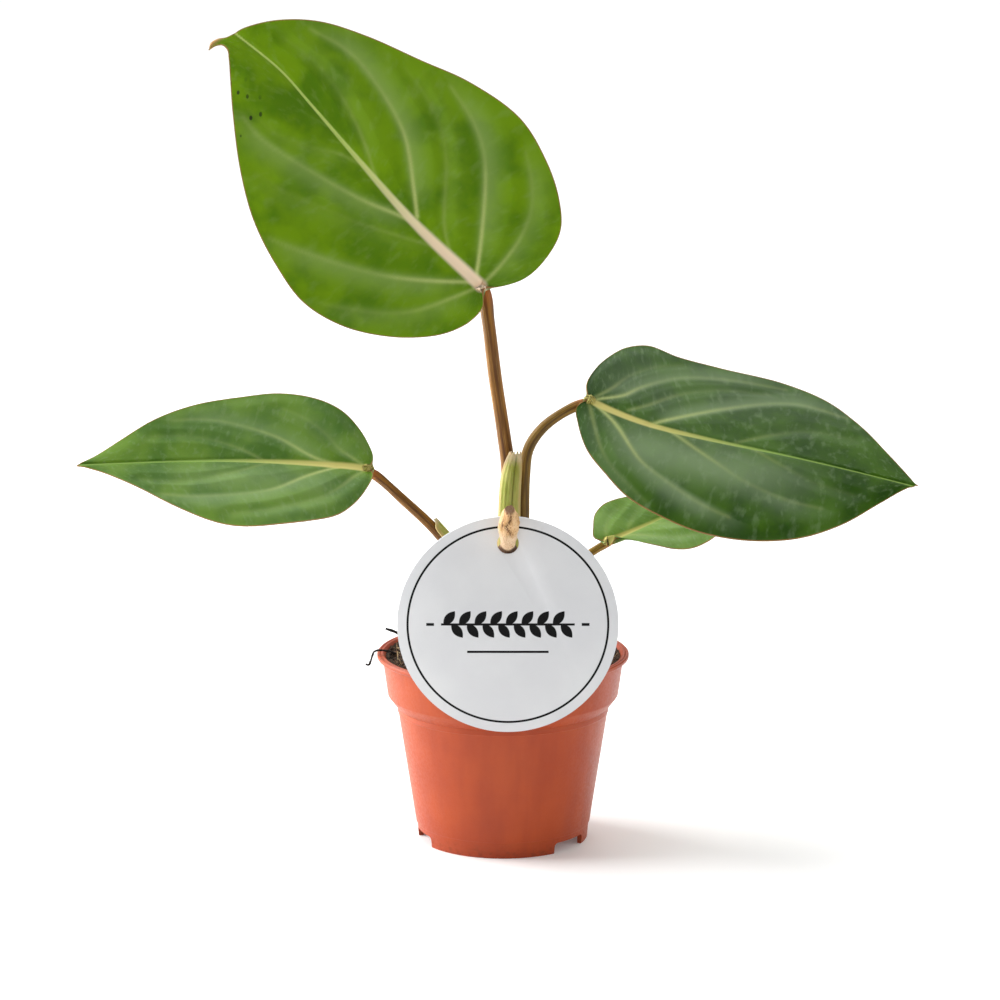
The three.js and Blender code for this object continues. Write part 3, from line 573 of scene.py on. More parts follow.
# ---------------------------------------------------------------------------------------------
# Leaf stalks: round, juicy and smooth, with a shallow channel, streaked from olive to reddish
# brown. Each grows from the stem and turns into its blade's midrib at a warmer, thicker joint.
LEAVES = (
    {
        "name": "1",
        "length": 85.4,
        "base": (-5.2, 1.0, 90.9),
        "turn": (-63, 41.5, 162.5),
        "fold": -0.04,
        "droop": 0.01,
        "midrib": ((0, 0), (0.25, 0.003), (0.5, -0.017), (0.7, -0.036), (0.82, -0.045), (1, -0.03)),
        "left": (
            (-0.045, 0.04), (-0.05, 0.09), (-0.034, 0.145), (0.0, 0.2), (0.08, 0.28), (0.19, 0.348),
            (0.31, 0.377), (0.43, 0.358), (0.57, 0.31), (0.7, 0.233), (0.83, 0.132), (0.898, 0.073),
            (0.941, 0.035), (0.965, 0.017), (0.984, 0.018), (0.996, 0.036),
        ),
        "right": (
            (-0.035, -0.03), (-0.072, -0.1), (-0.074, -0.185), (-0.048, -0.265), (0.02, -0.326),
            (0.12, -0.376), (0.25, -0.409), (0.42, -0.386), (0.56, -0.337), (0.72, -0.279),
            (0.84, -0.217), (0.925, -0.138), (0.975, -0.06), (0.992, -0.008), (1.008, 0.014),
            (1.012, 0.036),
        ),
        "tip": (1.0, 0.054),
        "radii": (1.9, 1.62, 1.5),
        "petiole": (
            (0.9, 1.2, 14.5), (1.2, 1.4, 30), (1.1, 1.2, 48), (0.1, 1.0, 56), (-1.9, 1.0, 69.4),
            (-3.5, 1.0, 82.7),
        ),
        "veins": (
            (0.5, ((0, 0), (0.03, 0.076), (0.08, 0.18), (0.134, 0.241), (0.2, 0.294), (0.27, 0.343))),
            (0.9, (
                (0.02, 0.005), (0.1, 0.081), (0.185, 0.151), (0.255, 0.197), (0.4, 0.272), (0.5, 0.315),
            )),
            (0.2, ((0.15, 0.003), (0.26, 0.06), (0.36, 0.11), (0.46, 0.15), (0.56, 0.19), (0.66, 0.21))),
            (0.9, ((0.25, 0), (0.31, 0.022), (0.4, 0.058), (0.57, 0.103), (0.72, 0.131), (0.8, 0.122))),
            (0.2, ((0.48, -0.01), (0.54, 0.012), (0.61, 0.055), (0.69, 0.09), (0.8, 0.1))),
            (0.6, ((0, 0), (0, -0.07), (0.015, -0.17), (0.05, -0.25), (0.11, -0.31), (0.17, -0.35))),
            (1.0, (
                (0.02, 0), (0.09, -0.093), (0.2, -0.222), (0.262, -0.276), (0.337, -0.313), (0.45, -0.34),
            )),
            (0.25, (
                (0.13, -0.01), (0.19, -0.05), (0.31, -0.18), (0.385, -0.236), (0.47, -0.27), (0.58, -0.29),
            )),
            (1.0, (
                (0.26, -0.015), (0.32, -0.063), (0.45, -0.156),
                (0.63, -0.208), (0.73, -0.213), (0.84, -0.185),
            )),
            (0.25, ((0.42, -0.015), (0.535, -0.072), (0.66, -0.114), (0.77, -0.128), (0.88, -0.115))),
        ),
        "rib": 3.3,
        "sheen_band": (0.0, 0.1, 0.0),
        "greens": ((76, 114, 0), (106, 142, 2), (132, 158, 84)),
        "flecks": 1.0,
    },
    {
        "name": "2",
        "length": 79.1,
        "base": (20.4, -2.0, 64.4),
        "turn": (36, -12.5, -11),
        "fold": 0.16,
        "droop": 0.03,
        "midrib": (
            (0, 0), (0.08, -0.02), (0.2, -0.035), (0.4, -0.028), (0.6, -0.01), (0.8, 0.004), (1, 0.015),
        ),
        "left": (
            (-0.024, 0.05), (-0.022, 0.13), (0.0, 0.215), (0.04, 0.285), (0.1, 0.315), (0.2, 0.296),
            (0.33, 0.3), (0.52, 0.314), (0.66, 0.287), (0.78, 0.212), (0.9, 0.105), (0.97, 0.045),
        ),
        "right": (
            (-0.03, -0.04), (-0.012, -0.088), (0.04, -0.173), (0.11, -0.238), (0.2, -0.3), (0.32, -0.331),
            (0.45, -0.342), (0.6, -0.32), (0.72, -0.272), (0.82, -0.19), (0.91, -0.076), (0.965, -0.008),
        ),
        "tip": (1.0, 0.022),
        "radii": (1.65, 1.45, 1.1),
        "petiole": (
            (5.3, -0.3, 5.5), (5.0, -0.4, 20), (4.8, -0.4, 37), (5.1, -0.6, 46), (6.0, -0.9, 52.3),
            (9.1, -1.4, 57.2), (14.2, -1.8, 61.2),
        ),
        "veins": (
            (0.35, ((0.01, 0.01), (0.05, 0.08), (0.08, 0.15), (0.14, 0.22), (0.22, 0.265))),
            (0.8, (
                (0.02, 0.01), (0.088, 0.06), (0.13, 0.12), (0.223, 0.203), (0.377, 0.26), (0.54, 0.287),
            )),
            (0.3, ((0.12, 0), (0.165, 0.042), (0.24, 0.126), (0.32, 0.18), (0.39, 0.212), (0.5, 0.24))),
            (0.9, (
                (0.2, -0.03), (0.245, 0.01), (0.387, 0.121), (0.528, 0.21), (0.607, 0.235), (0.74, 0.228),
            )),
            (0.2, ((0.45, -0.02), (0.55, 0.06), (0.65, 0.12), (0.78, 0.14))),
            (0.35, (
                (0, -0.01), (0.02, -0.05), (0.077, -0.154), (0.119, -0.205), (0.176, -0.25), (0.25, -0.295),
            )),
            (0.9, (
                (0.02, -0.01), (0.097, -0.064), (0.2, -0.164), (0.268, -0.2), (0.404, -0.25), (0.5, -0.268),
            )),
            (0.6, (
                (0.25, -0.035), (0.33, -0.07), (0.42, -0.105), (0.5, -0.135), (0.65, -0.16), (0.75, -0.155),
            )),
            (0.2, ((0.5, -0.02), (0.6, -0.05), (0.7, -0.075), (0.83, -0.08))),
        ),
        "rib": 2.2,
        "sheen_band": (-0.09, 0.075, 1.0),
        "greens": ((32, 66, 0), (58, 94, 0), (138, 160, 120)),
        "flecks": 0.25,
    },
    {
        "name": "3",
        "length": 68.3,
        "base": (-31.8, -2.0, 48.0),
        "turn": (-32, 3, 184),
        "fold": -0.07,
        "droop": 0.035,
        "midrib": ((0, 0), (0.1, -0.01), (0.3, -0.02), (0.5, -0.022), (0.65, -0.017), (0.8, -0.01), (1, 0)),
        "left": (
            (-0.015, 0.04), (0.002, 0.1), (0.045, 0.182), (0.11, 0.255), (0.2, 0.296), (0.31, 0.32),
            (0.42, 0.326), (0.52, 0.302), (0.66, 0.225), (0.8, 0.122), (0.92, 0.04),
        ),
        "right": (
            (-0.018, -0.05), (-0.006, -0.11), (0.035, -0.195), (0.1, -0.272), (0.2, -0.328), (0.32, -0.35),
            (0.45, -0.326), (0.6, -0.28), (0.74, -0.208), (0.85, -0.122), (0.94, -0.045),
        ),
        "tip": (1.0, 0.0),
        "radii": (1.5, 1.3, 1.05),
        "petiole": (
            (-4.85, -0.2, 5.5), (-5.2, -0.2, 13), (-8.6, -0.4, 22.5), (-15.4, -0.8, 32), (-23.4, -1.4, 40),
        ),
        "veins": (
            (0.4, (
                (0.01, -0.01), (0.052, -0.045), (0.093, -0.08),
                (0.155, -0.165), (0.22, -0.228), (0.3, -0.275),
            )),
            (0.7, (
                (0.12, -0.02), (0.188, -0.045), (0.318, -0.137),
                (0.482, -0.2), (0.565, -0.213), (0.68, -0.205),
            )),
            (0.2, ((0.35, -0.02), (0.47, -0.09), (0.6, -0.13), (0.75, -0.13))),
            (0.8, ((0.11, 0), (0.21, 0.052), (0.319, 0.125), (0.4, 0.15), (0.592, 0.172), (0.7, 0.163))),
            (0.35, ((0.01, 0.01), (0.05, 0.05), (0.1, 0.11), (0.17, 0.17), (0.34, 0.24), (0.46, 0.258))),
            (0.2, ((0.35, -0.01), (0.48, 0.05), (0.62, 0.09), (0.78, 0.085))),
        ),
        "rib": 2.6,
        "sheen_band": (0.1, 0.08, 0.6),
        "greens": ((60, 98, 12), (92, 126, 30), (130, 156, 104)),
        "flecks": 0.15,
    },
    {
        "name": "4",
        "length": 38.0,
        "base": (24.9, 9.0, 28.2),
        "turn": (31, 15, 20),
        "fold": -0.1,
        "droop": 0.04,
        "midrib": ((0, 0), (0.05, 0), (0.15, 0.006), (0.27, 0.017), (0.4, 0.03), (0.7, 0.02), (1, 0)),
        "left": (
            (-0.066, 0.045), (-0.03, 0.139), (0.021, 0.222), (0.097, 0.268), (0.192, 0.273), (0.3, 0.263),
            (0.45, 0.25), (0.62, 0.21), (0.78, 0.13), (0.92, 0.04),
        ),
        "right": (
            (0.06, -0.014), (0.13, -0.066), (0.189, -0.131),
            (0.263, -0.212), (0.329, -0.27), (0.417, -0.313),
            (0.507, -0.322), (0.63, -0.288), (0.78, -0.2), (0.91, -0.085),
        ),
        "tip": (1.0, 0.0),
        "radii": (1.4, 1.15, 0.9),
        "petiole": ((3.95, 3.9, 5.0), (5.4, 4.6, 11), (9.5, 5.4, 16), (15, 6.3, 20.6), (20.8, 7.4, 25.2)),
        "veins": (
            (0.3, ((0.0, 0.01), (0.04, 0.1), (0.11, 0.18), (0.2, 0.22))),
            (0.3, ((0.14, 0.01), (0.22, 0.09), (0.34, 0.17), (0.48, 0.2))),
            (0.4, ((0.1, 0), (0.2, -0.05), (0.31, -0.13), (0.43, -0.19), (0.56, -0.22))),
            (0.25, ((0.3, 0.02), (0.42, -0.04), (0.56, -0.1), (0.72, -0.12))),
        ),
        "rib": 1.7,
        "sheen_band": (0.1, 0.1, 0.2),
        "greens": ((98, 132, 48), (124, 156, 72), (152, 176, 132)),
        "flecks": 0.3,
    },
)
BLADE_UNDER = 0.3
JOIN_BACK = 0.8
SEAM = 0.002
ROUTE_STEPS = np.linspace(0, 1, 600)


def through(points, share):
    """Points on the smooth centripetal curve through these points, at these shares of its spans."""
    given = np.array(points, float)
    spans = len(given) - 1
    whole = np.vstack([2 * given[0] - given[1], given, 2 * given[-1] - given[-2]])
    at = np.clip(np.asarray(share, float) * spans, 0, spans - 1e-9)
    span = at.astype(int)
    w = (at - span)[:, None]
    before, start, end, after = (whole[span + step] for step in range(4))
    d0, d1, d2 = (
        np.sqrt(np.linalg.norm(b - a, axis=1, keepdims=True))
        for a, b in ((before, start), (start, end), (end, after))
    )
    leave = d1 * ((start - before) / d0 - (end - before) / (d0 + d1) + (end - start) / d1)
    arrive = d1 * ((end - start) / d1 - (after - start) / (d1 + d2) + (after - end) / d2)
    return (
        start * (2 * w**3 - 3 * w**2 + 1)
        + leave * (w**3 - 2 * w**2 + w)
        + end * (3 * w**2 - 2 * w**3)
        + arrive * (w**3 - w**2)
    )


def wrapped(name, columns, rows, surface):
    """A grid laid over surface(u, v), which gives millimetres. Its UV map keeps u and v."""
    piece = primitive("grid", x_subdivisions=columns, y_subdivisions=rows, size=1)
    piece.name = name
    flat = np.empty(len(piece.data.vertices) * 3)
    piece.data.vertices.foreach_get("co", flat)
    placed = surface(flat[0::3] + 0.5, flat[1::3] + 0.5)
    piece.data.vertices.foreach_set("co", (placed * MM).ravel())
    piece.data.update()
    return piece


def close_up(piece, fill=True):
    """Welds the seams, and fills the two ends or else clears what collapsed there."""
    edit_all(piece)
    bpy.ops.mesh.remove_doubles(threshold=SEAM * MM)
    if fill:
        bpy.ops.mesh.fill_holes(sides=0)
    else:
        bpy.ops.mesh.dissolve_degenerate(threshold=0.5 * SEAM * MM)
    end_edit()


def marked(piece, marks):
    """Keeps what was worked out at each point, for the material to read."""
    for label, values in marks.items():
        attribute = piece.data.attributes.new(label, "FLOAT", "POINT")
        attribute.data.foreach_set("value", values.astype(np.float32))


def rod(name, route, radius_at, sides, rows, facing=(0, -1, 0), marks=None):
    """A closed rod along a route. radius_at(share along, angle from facing) is its radius."""
    dense = through(route, ROUTE_STEPS)
    steps = np.concatenate([[0], np.cumsum(np.linalg.norm(np.diff(dense, axis=0), axis=1))])
    heading = np.gradient(dense, axis=0)
    reference = np.array(facing, float)

    def surface(u, v):
        at = v * steps[-1]
        centre = np.stack([np.interp(at, steps, dense[:, k]) for k in range(3)], 1)
        tangent = np.stack([np.interp(at, steps, heading[:, k]) for k in range(3)], 1)
        tangent /= np.linalg.norm(tangent, axis=1, keepdims=True)
        front = reference - (tangent @ reference)[:, None] * tangent
        front /= np.linalg.norm(front, axis=1, keepdims=True)
        side = np.cross(tangent, front)
        angle = 2 * math.pi * (u - 0.5)
        radius = radius_at(v, angle)
        return centre + radius[:, None] * (np.cos(angle)[:, None] * front + np.sin(angle)[:, None] * side)

    piece = wrapped(name, sides, rows, surface)
    marked(piece, marks or {})
    close_up(piece)
    return piece


def leaf_turn(leaf):
    roll, rise, heading = (math.radians(angle) for angle in leaf["turn"])
    turn = Euler((roll, -rise, heading), "XYZ").to_matrix()
    return np.array(turn)


def above_soil(leaf, point):
    """A point in the blade's own axes, in millimetres of the whole plant."""
    return leaf_turn(leaf) @ np.array(point, float) + np.array(leaf["base"]) + (0, 0, SOIL_TOP)


def make_petiole(leaf, finish):
    foot, middle, top = leaf["radii"]
    route = [(x, y, z + SOIL_TOP) for x, y, z in leaf["petiole"]]
    route.append(tuple(above_soil(leaf, (-JOIN_BACK, 0, -(BLADE_UNDER + 0.2 + top)))))
    route.append(tuple(above_soil(leaf, (1.2, 0, -(BLADE_UNDER + 0.95 * top)))))

    def radius_at(v, angle):
        plain = np.interp(v, (0, 0.5, 1), (foot, middle, top))
        joint = 1 + 0.1 * np.exp(-(((v - 0.93) / 0.035) ** 2))
        joint -= 0.3 * np.clip((v - 0.965) / 0.035, 0, 1) ** 2
        sheath = 1 + 0.12 * np.exp(-(((v - 0.02) / 0.09) ** 2))
        channel = 1 - 0.05 * np.exp(-(((np.abs(angle) - 2.2) / 0.35) ** 2))
        ridges = 1 + 0.008 * np.sin(11 * angle + 3 * np.sin(6 * v)) + 0.01 * np.sin(23 * v + 2 * angle)
        return plain * joint * sheath * channel * ridges

    petiole = rod("leaf_stalk_" + leaf["name"], route, radius_at, 36, 120)
    petiole.data.materials.append(finish)
    shade(petiole, 60)
    belong(petiole, "petiole", "petiole_" + leaf["name"])


def make_petioles():
    flush = (196, 104, 46)
    brown = streaked_finish("brown_stalk", (92, 54, 10), (150, 100, 28), (190, 146, 74), flush)
    olive = streaked_finish("olive_stalk", (84, 58, 10), (140, 104, 28), (180, 146, 66), flush)
    golden = streaked_finish("golden_stalk", (112, 78, 12), (162, 126, 34), (196, 166, 78), flush)
    finishes = (brown, olive, brown, golden)
    for leaf, finish in zip(LEAVES, finishes):
        make_petiole(leaf, finish)


make_petioles()

# ---------------------------------------------------------------------------------------------
# Leaf blades: thin, leathery and heart-shaped. The surface sinks along the veins and swells
# between them, the midrib stands out underneath, and the margin is a fine pinkish-brown line.
# Pale grey-green bands beside the veins, and a broad one beside the midrib on some leaves, are painted
# sheen.
BLADE_THICKNESS = 0.34
KEEL = 1.5
BLADE_MESH = (1.75, 2.9)
LOBE_SHARE = 0.16


def smooth(value, low, high):
    t = np.clip((value - low) / (high - low), 0, 1)
    return t * t * (3 - 2 * t)


def nearest_vein(points, curve, length):
    """Distance in millimetres to a vein, the share along it, and which side of it points lie."""
    stations = through(curve, np.linspace(0, 1, 40)) * length
    start, end = stations[:-1], stations[1:]
    run = end - start
    to_point = points[:, None, :] - start[None, :, :]
    share = np.clip((to_point * run).sum(2) / (run**2).sum(1), 0, 1)
    off = to_point - share[:, :, None] * run
    distance = np.linalg.norm(off, axis=2)
    best = distance.argmin(1)
    each = np.arange(len(points))
    side = run[best, 0] * off[each, best, 1] - run[best, 1] * off[each, best, 0]
    along = (best + share[each, best]) / len(run)
    return distance[each, best], along, np.sign(side)


def blade_shape(leaf, u, v):
    """The blade's flat points and the margin's in millimetres, and how far across they lie."""
    length = leaf["length"]
    left = through(((0, 0), *leaf["left"], leaf["tip"]), v)
    right = through(((0, 0), *leaf["right"], leaf["tip"]), v)
    share = np.clip((v - LOBE_SHARE) / (1 - LOBE_SHARE), 0, 1)
    along = 0.65 * share + 0.35 * smooth(share, 0, 1)
    line = through(leaf["midrib"], np.linspace(0, 1, 200))
    middle = np.stack([along, np.interp(along, line[:, 0], line[:, 1])], 1)
    settle = smooth(v, 0.55, 0.9)[:, None]
    middle = middle * (1 - settle) + 0.5 * (left + right) * settle
    across = np.abs(2 * u - 1) ** 1.3
    margin = np.where((u < 0.5)[:, None], left, right)
    flat = middle + (margin - middle) * across[:, None]
    return flat * length, margin * length, across


def make_blade(leaf):
    length = leaf["length"]
    marks = {}

    def surface(u, v):
        flat, margin, across = blade_shape(leaf, u, v)
        x, y = flat[:, 0], flat[:, 1]
        forward = x / length
        rib_line = through(leaf["midrib"], np.linspace(0, 1, 200)) * length
        rib_y = np.interp(x, rib_line[:, 0], rib_line[:, 1])
        behind = np.hypot(np.minimum(x, 0), y)
        to_rib = np.where(x < 0, behind, np.abs(y - rib_y))
        rib_width = leaf["rib"] * (0.16 + 0.84 * (1 - smooth(forward, -0.1, 0.95)) ** 1.5) / 2
        vein = np.zeros(len(x))
        sheen = np.zeros(len(x))
        groove = np.zeros(len(x))
        nearest = np.full(len(x), 99.0)
        for strength, curve in leaf["veins"]:
            distance, along, side = nearest_vein(flat, curve, length)
            fade = strength * (0.15 + 0.6 * (1 - smooth(along, 0.1, 0.6)))
            vein = np.maximum(vein, fade * np.exp(-((distance / 0.5) ** 2)))
            groove = np.maximum(groove, (0.4 + 0.6 * fade) * strength * np.exp(-((distance / 0.9) ** 2)))
            # Painted sheen: a pale band beside each vein, wider on its outer side, is painted highlight
            # laid into the colour.
            outer = side * np.sign(curve[-1][1]) > 0
            wide = np.where(outer, 3.6, 1.2)
            body = strength * np.exp(-((distance / wide) ** 2)) * smooth(along, 0.0, 0.3)
            sheen = np.maximum(sheen, body * (1 - 0.7 * smooth(along, 0.75, 1.0)))
            nearest = np.minimum(nearest, distance / (0.35 + 0.65 * strength))
        nearest = np.minimum(nearest, to_rib)
        marks["vein"] = vein
        # Painted sheen: a broad pale band beside the midrib, placed, wide and strong as each leaf gives, is
        # painted highlight.
        place, width, strength = leaf["sheen_band"]
        sheen_band = strength * np.exp(-((((y - rib_y) / length - place) / width) ** 2))
        sheen_band = sheen_band * smooth(forward, 0.02, 0.2) * (1 - smooth(forward, 0.45, 0.85))
        marks["sheen"] = np.maximum(sheen, sheen_band)
        marks["rib"] = 1 - smooth(to_rib / rib_width, 0.5, 1.25)
        marks["rim"] = np.linalg.norm(margin - flat, axis=1)
        marks["forward"] = forward
        marks["side"] = y / length
        slope = np.hypot(y - rib_y, 1) - 1
        ruffle = across**3 * np.sin(17 * v + np.where(u < 0.5, 0, 2))
        z = length * (0.006 * ruffle - leaf["droop"] * forward * np.abs(forward)) - leaf["fold"] * slope
        puff = 0.55 * (1 - np.exp(-((nearest / 4.5) ** 2)))
        trough = np.exp(-((to_rib / (rib_width + 0.3)) ** 2))
        z += puff * smooth(marks["rim"], 0, 5) - 0.16 * groove - 0.35 * trough
        keel = np.exp(-((to_rib / (0.9 * rib_width + 0.25)) ** 2)) * (1 - 0.85 * smooth(forward, 0, 1))
        small_keel = 0.16 * groove
        marks["body"] = np.clip(BLADE_THICKNESS / KEEL + 0.75 * keel + small_keel, 0, 1)
        edge = 1 - 0.45 * (1 - smooth(marks["rim"], 0, 0.8))
        marks["body"] = marks["body"] * edge
        points = np.stack([x, y, z], 1) @ leaf_turn(leaf).T
        return points + np.array(leaf["base"]) + (0, 0, SOIL_TOP)

    columns, rows = (round(length * share) for share in BLADE_MESH)
    blade = wrapped("leaf_" + leaf["name"], columns, rows, surface)
    body = marks.pop("body")
    marked(blade, marks)
    group = blade.vertex_groups.new(name="body")
    for index, weight in enumerate(body):
        group.add([index], float(weight), "REPLACE")
    close_up(blade, fill=False)
    up = Vector(leaf_turn(leaf) @ np.array((0, 0, 1.0)))
    facing_up = sum(face.normal.dot(up) * face.area for face in blade.data.polygons)
    if facing_up < 0:
        blade.data.flip_normals()
    blade.data.materials.append(blade_finish(leaf, upper=True))
    blade.data.materials.append(blade_finish(leaf, upper=False))
    apply_modifier(
        blade, "SOLIDIFY", thickness=KEEL * MM, offset=-1, vertex_group="body", material_offset=1,
        material_offset_rim=0,
    )
    shade(blade, 80)
    belong(blade, "leaf", "leaf_blade_" + leaf["name"])


def blade_finish(leaf, upper):
    side = "upper" if upper else "under"
    name = "leaf_" + leaf["name"] + "_" + side
    under_skin = {"Subsurface_Scale": 0.8 * MM, "Subsurface_Radius": (0.5, 1.0, 0.2)}
    material, tree = bare_finish(name, Specular_IOR_Level=0.14, Subsurface_Weight=0.12, **under_skin)
    seen = marks_on(tree, "vein", "sheen", "rib", "rim", "forward", "side")
    uv = put(tree, "UVMap").outputs[0]
    place = object_place(tree)
    cloud, grain = grained(tree, place, 0.09, 2.6)
    fibres = noise(tree, stretched(tree, uv, 14, 60, 1), 1.0, 4.0)
    bands = noise(tree, stretched(tree, uv, 2.2, 16, 1))
    dark, bright, grey = leaf["greens"]
    if not upper:
        dark, bright = (96, 128, 70), (128, 156, 96)
    green = tinted(tree, dark, bright, cloud, 0.36, 0.64)
    green = tinted(tree, green, bright, bands, 0.42, 0.68, 0.35)
    green = tinted(tree, green, grey, fibres, 0.5, 0.72, 0.22)
    # The sheen marks are painted highlight: pale grey-green laid into the leaf colour.
    green = blended(tree, times(tree, seen["sheen"], 0.62), green, grey)
    mottle = spread(tree, grain, 0.35, 0.7, 0.8, 1.0)
    if upper:
        fleck_place = object_place(tree, (1, 1, 0.6), (0.4, 0, 0.9))
        spots = put(tree, "TexVoronoi", {"Vector": fleck_place, "Scale": 0.42}).outputs["Distance"]
        where = times(tree, spread(tree, seen["forward"], 0.62, 0.8), spread(tree, seen["side"], 0.02, 0.1))
        thin = times(tree, spread(tree, spots, 0.2, 0.12), where)
        green = blended(tree, times(tree, thin, leaf["flecks"]), green, (34, 42, 16))
    vein_colour = (196, 206, 128) if upper else (176, 186, 120)
    green = blended(tree, times(tree, seen["vein"], mottle, clamp=True), green, vein_colour)
    rib_foot, rib_tip = (240, 216, 186), (184, 204, 108)
    if leaf["name"] != "1":
        rib_foot, rib_tip = (202, 192, 112), (140, 172, 84)
    rib_colour = tinted(tree, rib_foot, rib_tip, seen["forward"], 0.1, 0.6)
    green = blended(tree, times(tree, seen["rib"], 0.96), green, rib_colour)
    rim = spread(tree, seen["rim"], 0.38, 0.12)
    green = blended(tree, times(tree, rim, 0.85), green, (150, 108, 66))
    green = tinted(tree, green, (176, 136, 88), seen["forward"], 0.99, 1.01)
    low, high = (0.36, 0.52) if upper else (0.55, 0.7)
    relief = plus(tree, times(tree, fibres, 0.7), times(tree, grain, 0.35))
    return finished(material, green, (grain, low, high), relief, 0.12, 0.6)


for leaf in LEAVES:
    make_blade(leaf)

# ---------------------------------------------------------------------------------------------
# Sheath leaves: papery wraps that covered each leaf in the bud and grow from the stem. They
# stay on as pale curled strips, with a fold down the middle, beige edges and a frayed tip.
# A narrow dark line along the groove of each fold is painted shade.
SHEATHS = (
    {
        "name": "front", "radii": (2.95, 2.4), "taper": 0.5,
        "axis": ((1.3, -0.4, 14.2), (1.4, -1.4, 28), (1.5, -1.4, 36), (1.9, -1.4, 45), (3, -1.4, 52.4)),
        "arc": (200, 332), "fold": ((0.35, 0.6), (1.0, 0.66)), "fray": 0.045,
    },
    {
        "name": "left", "radii": (2.5, 2.6), "taper": 0.75,
        "axis": ((-5.2, -0.2, 13.5), (-8.4, -0.4, 22.5), (-15.2, -0.8, 31.8), (-18.6, -1, 35.6)),
        "arc": (-75, 55), "fold": ((0.5, 0.5), (1.0, 0.4)), "fray": 0.03,
    },
)
SHEATH_THICKNESS = 0.4


def sheath_finish():
    under_skin = {"Subsurface_Weight": 0.15, "Subsurface_Scale": 0.8 * MM}
    material, tree = bare_finish("papery_sheath", Specular_IOR_Level=0.35, **under_skin)
    seen = marks_on(tree, "rim", "shaded_slit", "height")
    uv = put(tree, "UVMap").outputs[0]
    cloud, grain = grained(tree, object_place(tree, (1, 1, 0.4)), 0.35, 3.5)
    lines = noise(tree, stretched(tree, uv, 26, 1.6, 1), 5.0)
    green = tinted(tree, (158, 162, 62), (184, 182, 94), cloud, 0.35, 0.65)
    green = tinted(tree, green, (126, 142, 34), lines, 0.45, 0.65, 0.5)
    green = tinted(tree, green, (206, 180, 120), seen["rim"], 1.3, 0.3, 0.85)
    top = spread(tree, plus(tree, seen["height"], times(tree, grain, 0.12)), 0.93, 1.05)
    green = blended(tree, top, green, (214, 192, 150))
    # Painted shade: the slit's groove is painted dark olive.
    green = blended(tree, seen["shaded_slit"], green, (66, 62, 12))
    return finished(material, green, (grain, 0.5, 0.68), lines, 0.15, 0.7)


def make_sheath(sheath, finish):
    start, end = sheath["arc"]
    marks = {}

    def surface(u, v):
        taper = 1 - sheath["taper"] * np.clip((v - 0.7) / 0.3, 0, 1) ** 2
        angle = np.radians((start + end) / 2 + (end - start) * (u - 0.5) * taper)
        radius = np.interp(v, (0, 1), sheath["radii"])
        (low, low_u), (high, high_u) = sheath["fold"]
        fold_u = np.interp(v, (low, high), (low_u, high_u))
        off = (u - fold_u) * taper * np.radians(end - start) * radius
        crease = np.exp(-((off / 0.5) ** 2))
        # The slit is a narrow groove pressed in along the fold, and its dark colour is painted shade.
        shaded_slit = np.exp(-((off / 0.22) ** 2)) * smooth(v, low + 0.1, low + 0.2) * (1 - smooth(v, 0.9, 1.0))
        ribs = 0.05 * np.sin(38 * u + 2 * np.sin(3 * v))
        radius = radius + ribs - 0.25 * crease - 0.35 * shaded_slit + 0.2 * smooth(v, 0.85, 1) * np.abs(2 * u - 1)
        torn = np.sin(23 * u + 1) + 0.7 * np.sin(51 * u) + 0.5 * np.sin(97 * u + 2)
        height = v * (1 - sheath["fray"] * (0.5 + 0.3 * torn) * smooth(v, 0.8, 1))
        marks["rim"] = np.minimum(u, 1 - u) * taper * abs(np.radians(end - start)) * radius
        marks["shaded_slit"] = shaded_slit
        marks["height"] = v
        centre = through(sheath["axis"], height) + (0, 0, SOIL_TOP)
        return centre + radius[:, None] * np.stack([np.cos(angle), np.sin(angle), 0 * angle], 1)

    piece = wrapped("sheath_" + sheath["name"], 60, 110, surface)
    marked(piece, marks)
    piece.data.materials.append(finish)
    apply_modifier(piece, "SOLIDIFY", thickness=SHEATH_THICKNESS * MM, offset=0)
    shade(piece, 70)
    belong(piece, "cataphyll", "cataphyll_" + sheath["name"])


sheath_skin = sheath_finish()
for sheath in SHEATHS:
    make_sheath(sheath, sheath_skin)

# ---------------------------------------------------------------------------------------------
# Label card: a round, matt, pale grey card with one punched hole, which hangs on the stick. Its
# front is printed in black with a thin ring, a leafy sprig between two dashes, and a thin rule.
CARD_LOW, CARD_HIGH = (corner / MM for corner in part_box("label_card"))
CARD_CENTRE = (CARD_LOW + CARD_HIGH) / 2
CARD_RADIUS = (CARD_HIGH.x - CARD_LOW.x) / 2
CARD_THICKNESS = CARD_HIGH.y - CARD_LOW.y
HOLE_RISE = 19.2
HOLE_RADIUS = 2.5
RING_RADIUS = 23.1
RING_LINE = 0.5
SPRIG_REACH = 15.4
SPRIG_PITCH = 3.6
SPRIG_LEAF = (2.15, 1.05)
SPRIG_RISE = 0.1
SPRIG_SLANT = math.radians(52)
STALK_LINE = 0.52
LEAF_LIFT = 1.45
DASH_PLACE = 17.9
DASH_SIZE = (1.8, 0.68)
RULE_DROP = 6.4
RULE_SIZE = (18.8, 0.54)


def within(tree, value, limit, soft=0.05):
    """One inside the limit, nothing outside it, with a slightly soft edge."""
    return spread(tree, value, limit + soft, limit - soft)


def bar(tree, off_x, off_z, size):
    """A level bar of this length and width, from how far off its middle each point lies."""
    half_length, half_width = (value / 2 for value in size)
    return times(tree, within(tree, off_x, half_length), within(tree, off_z, half_width))


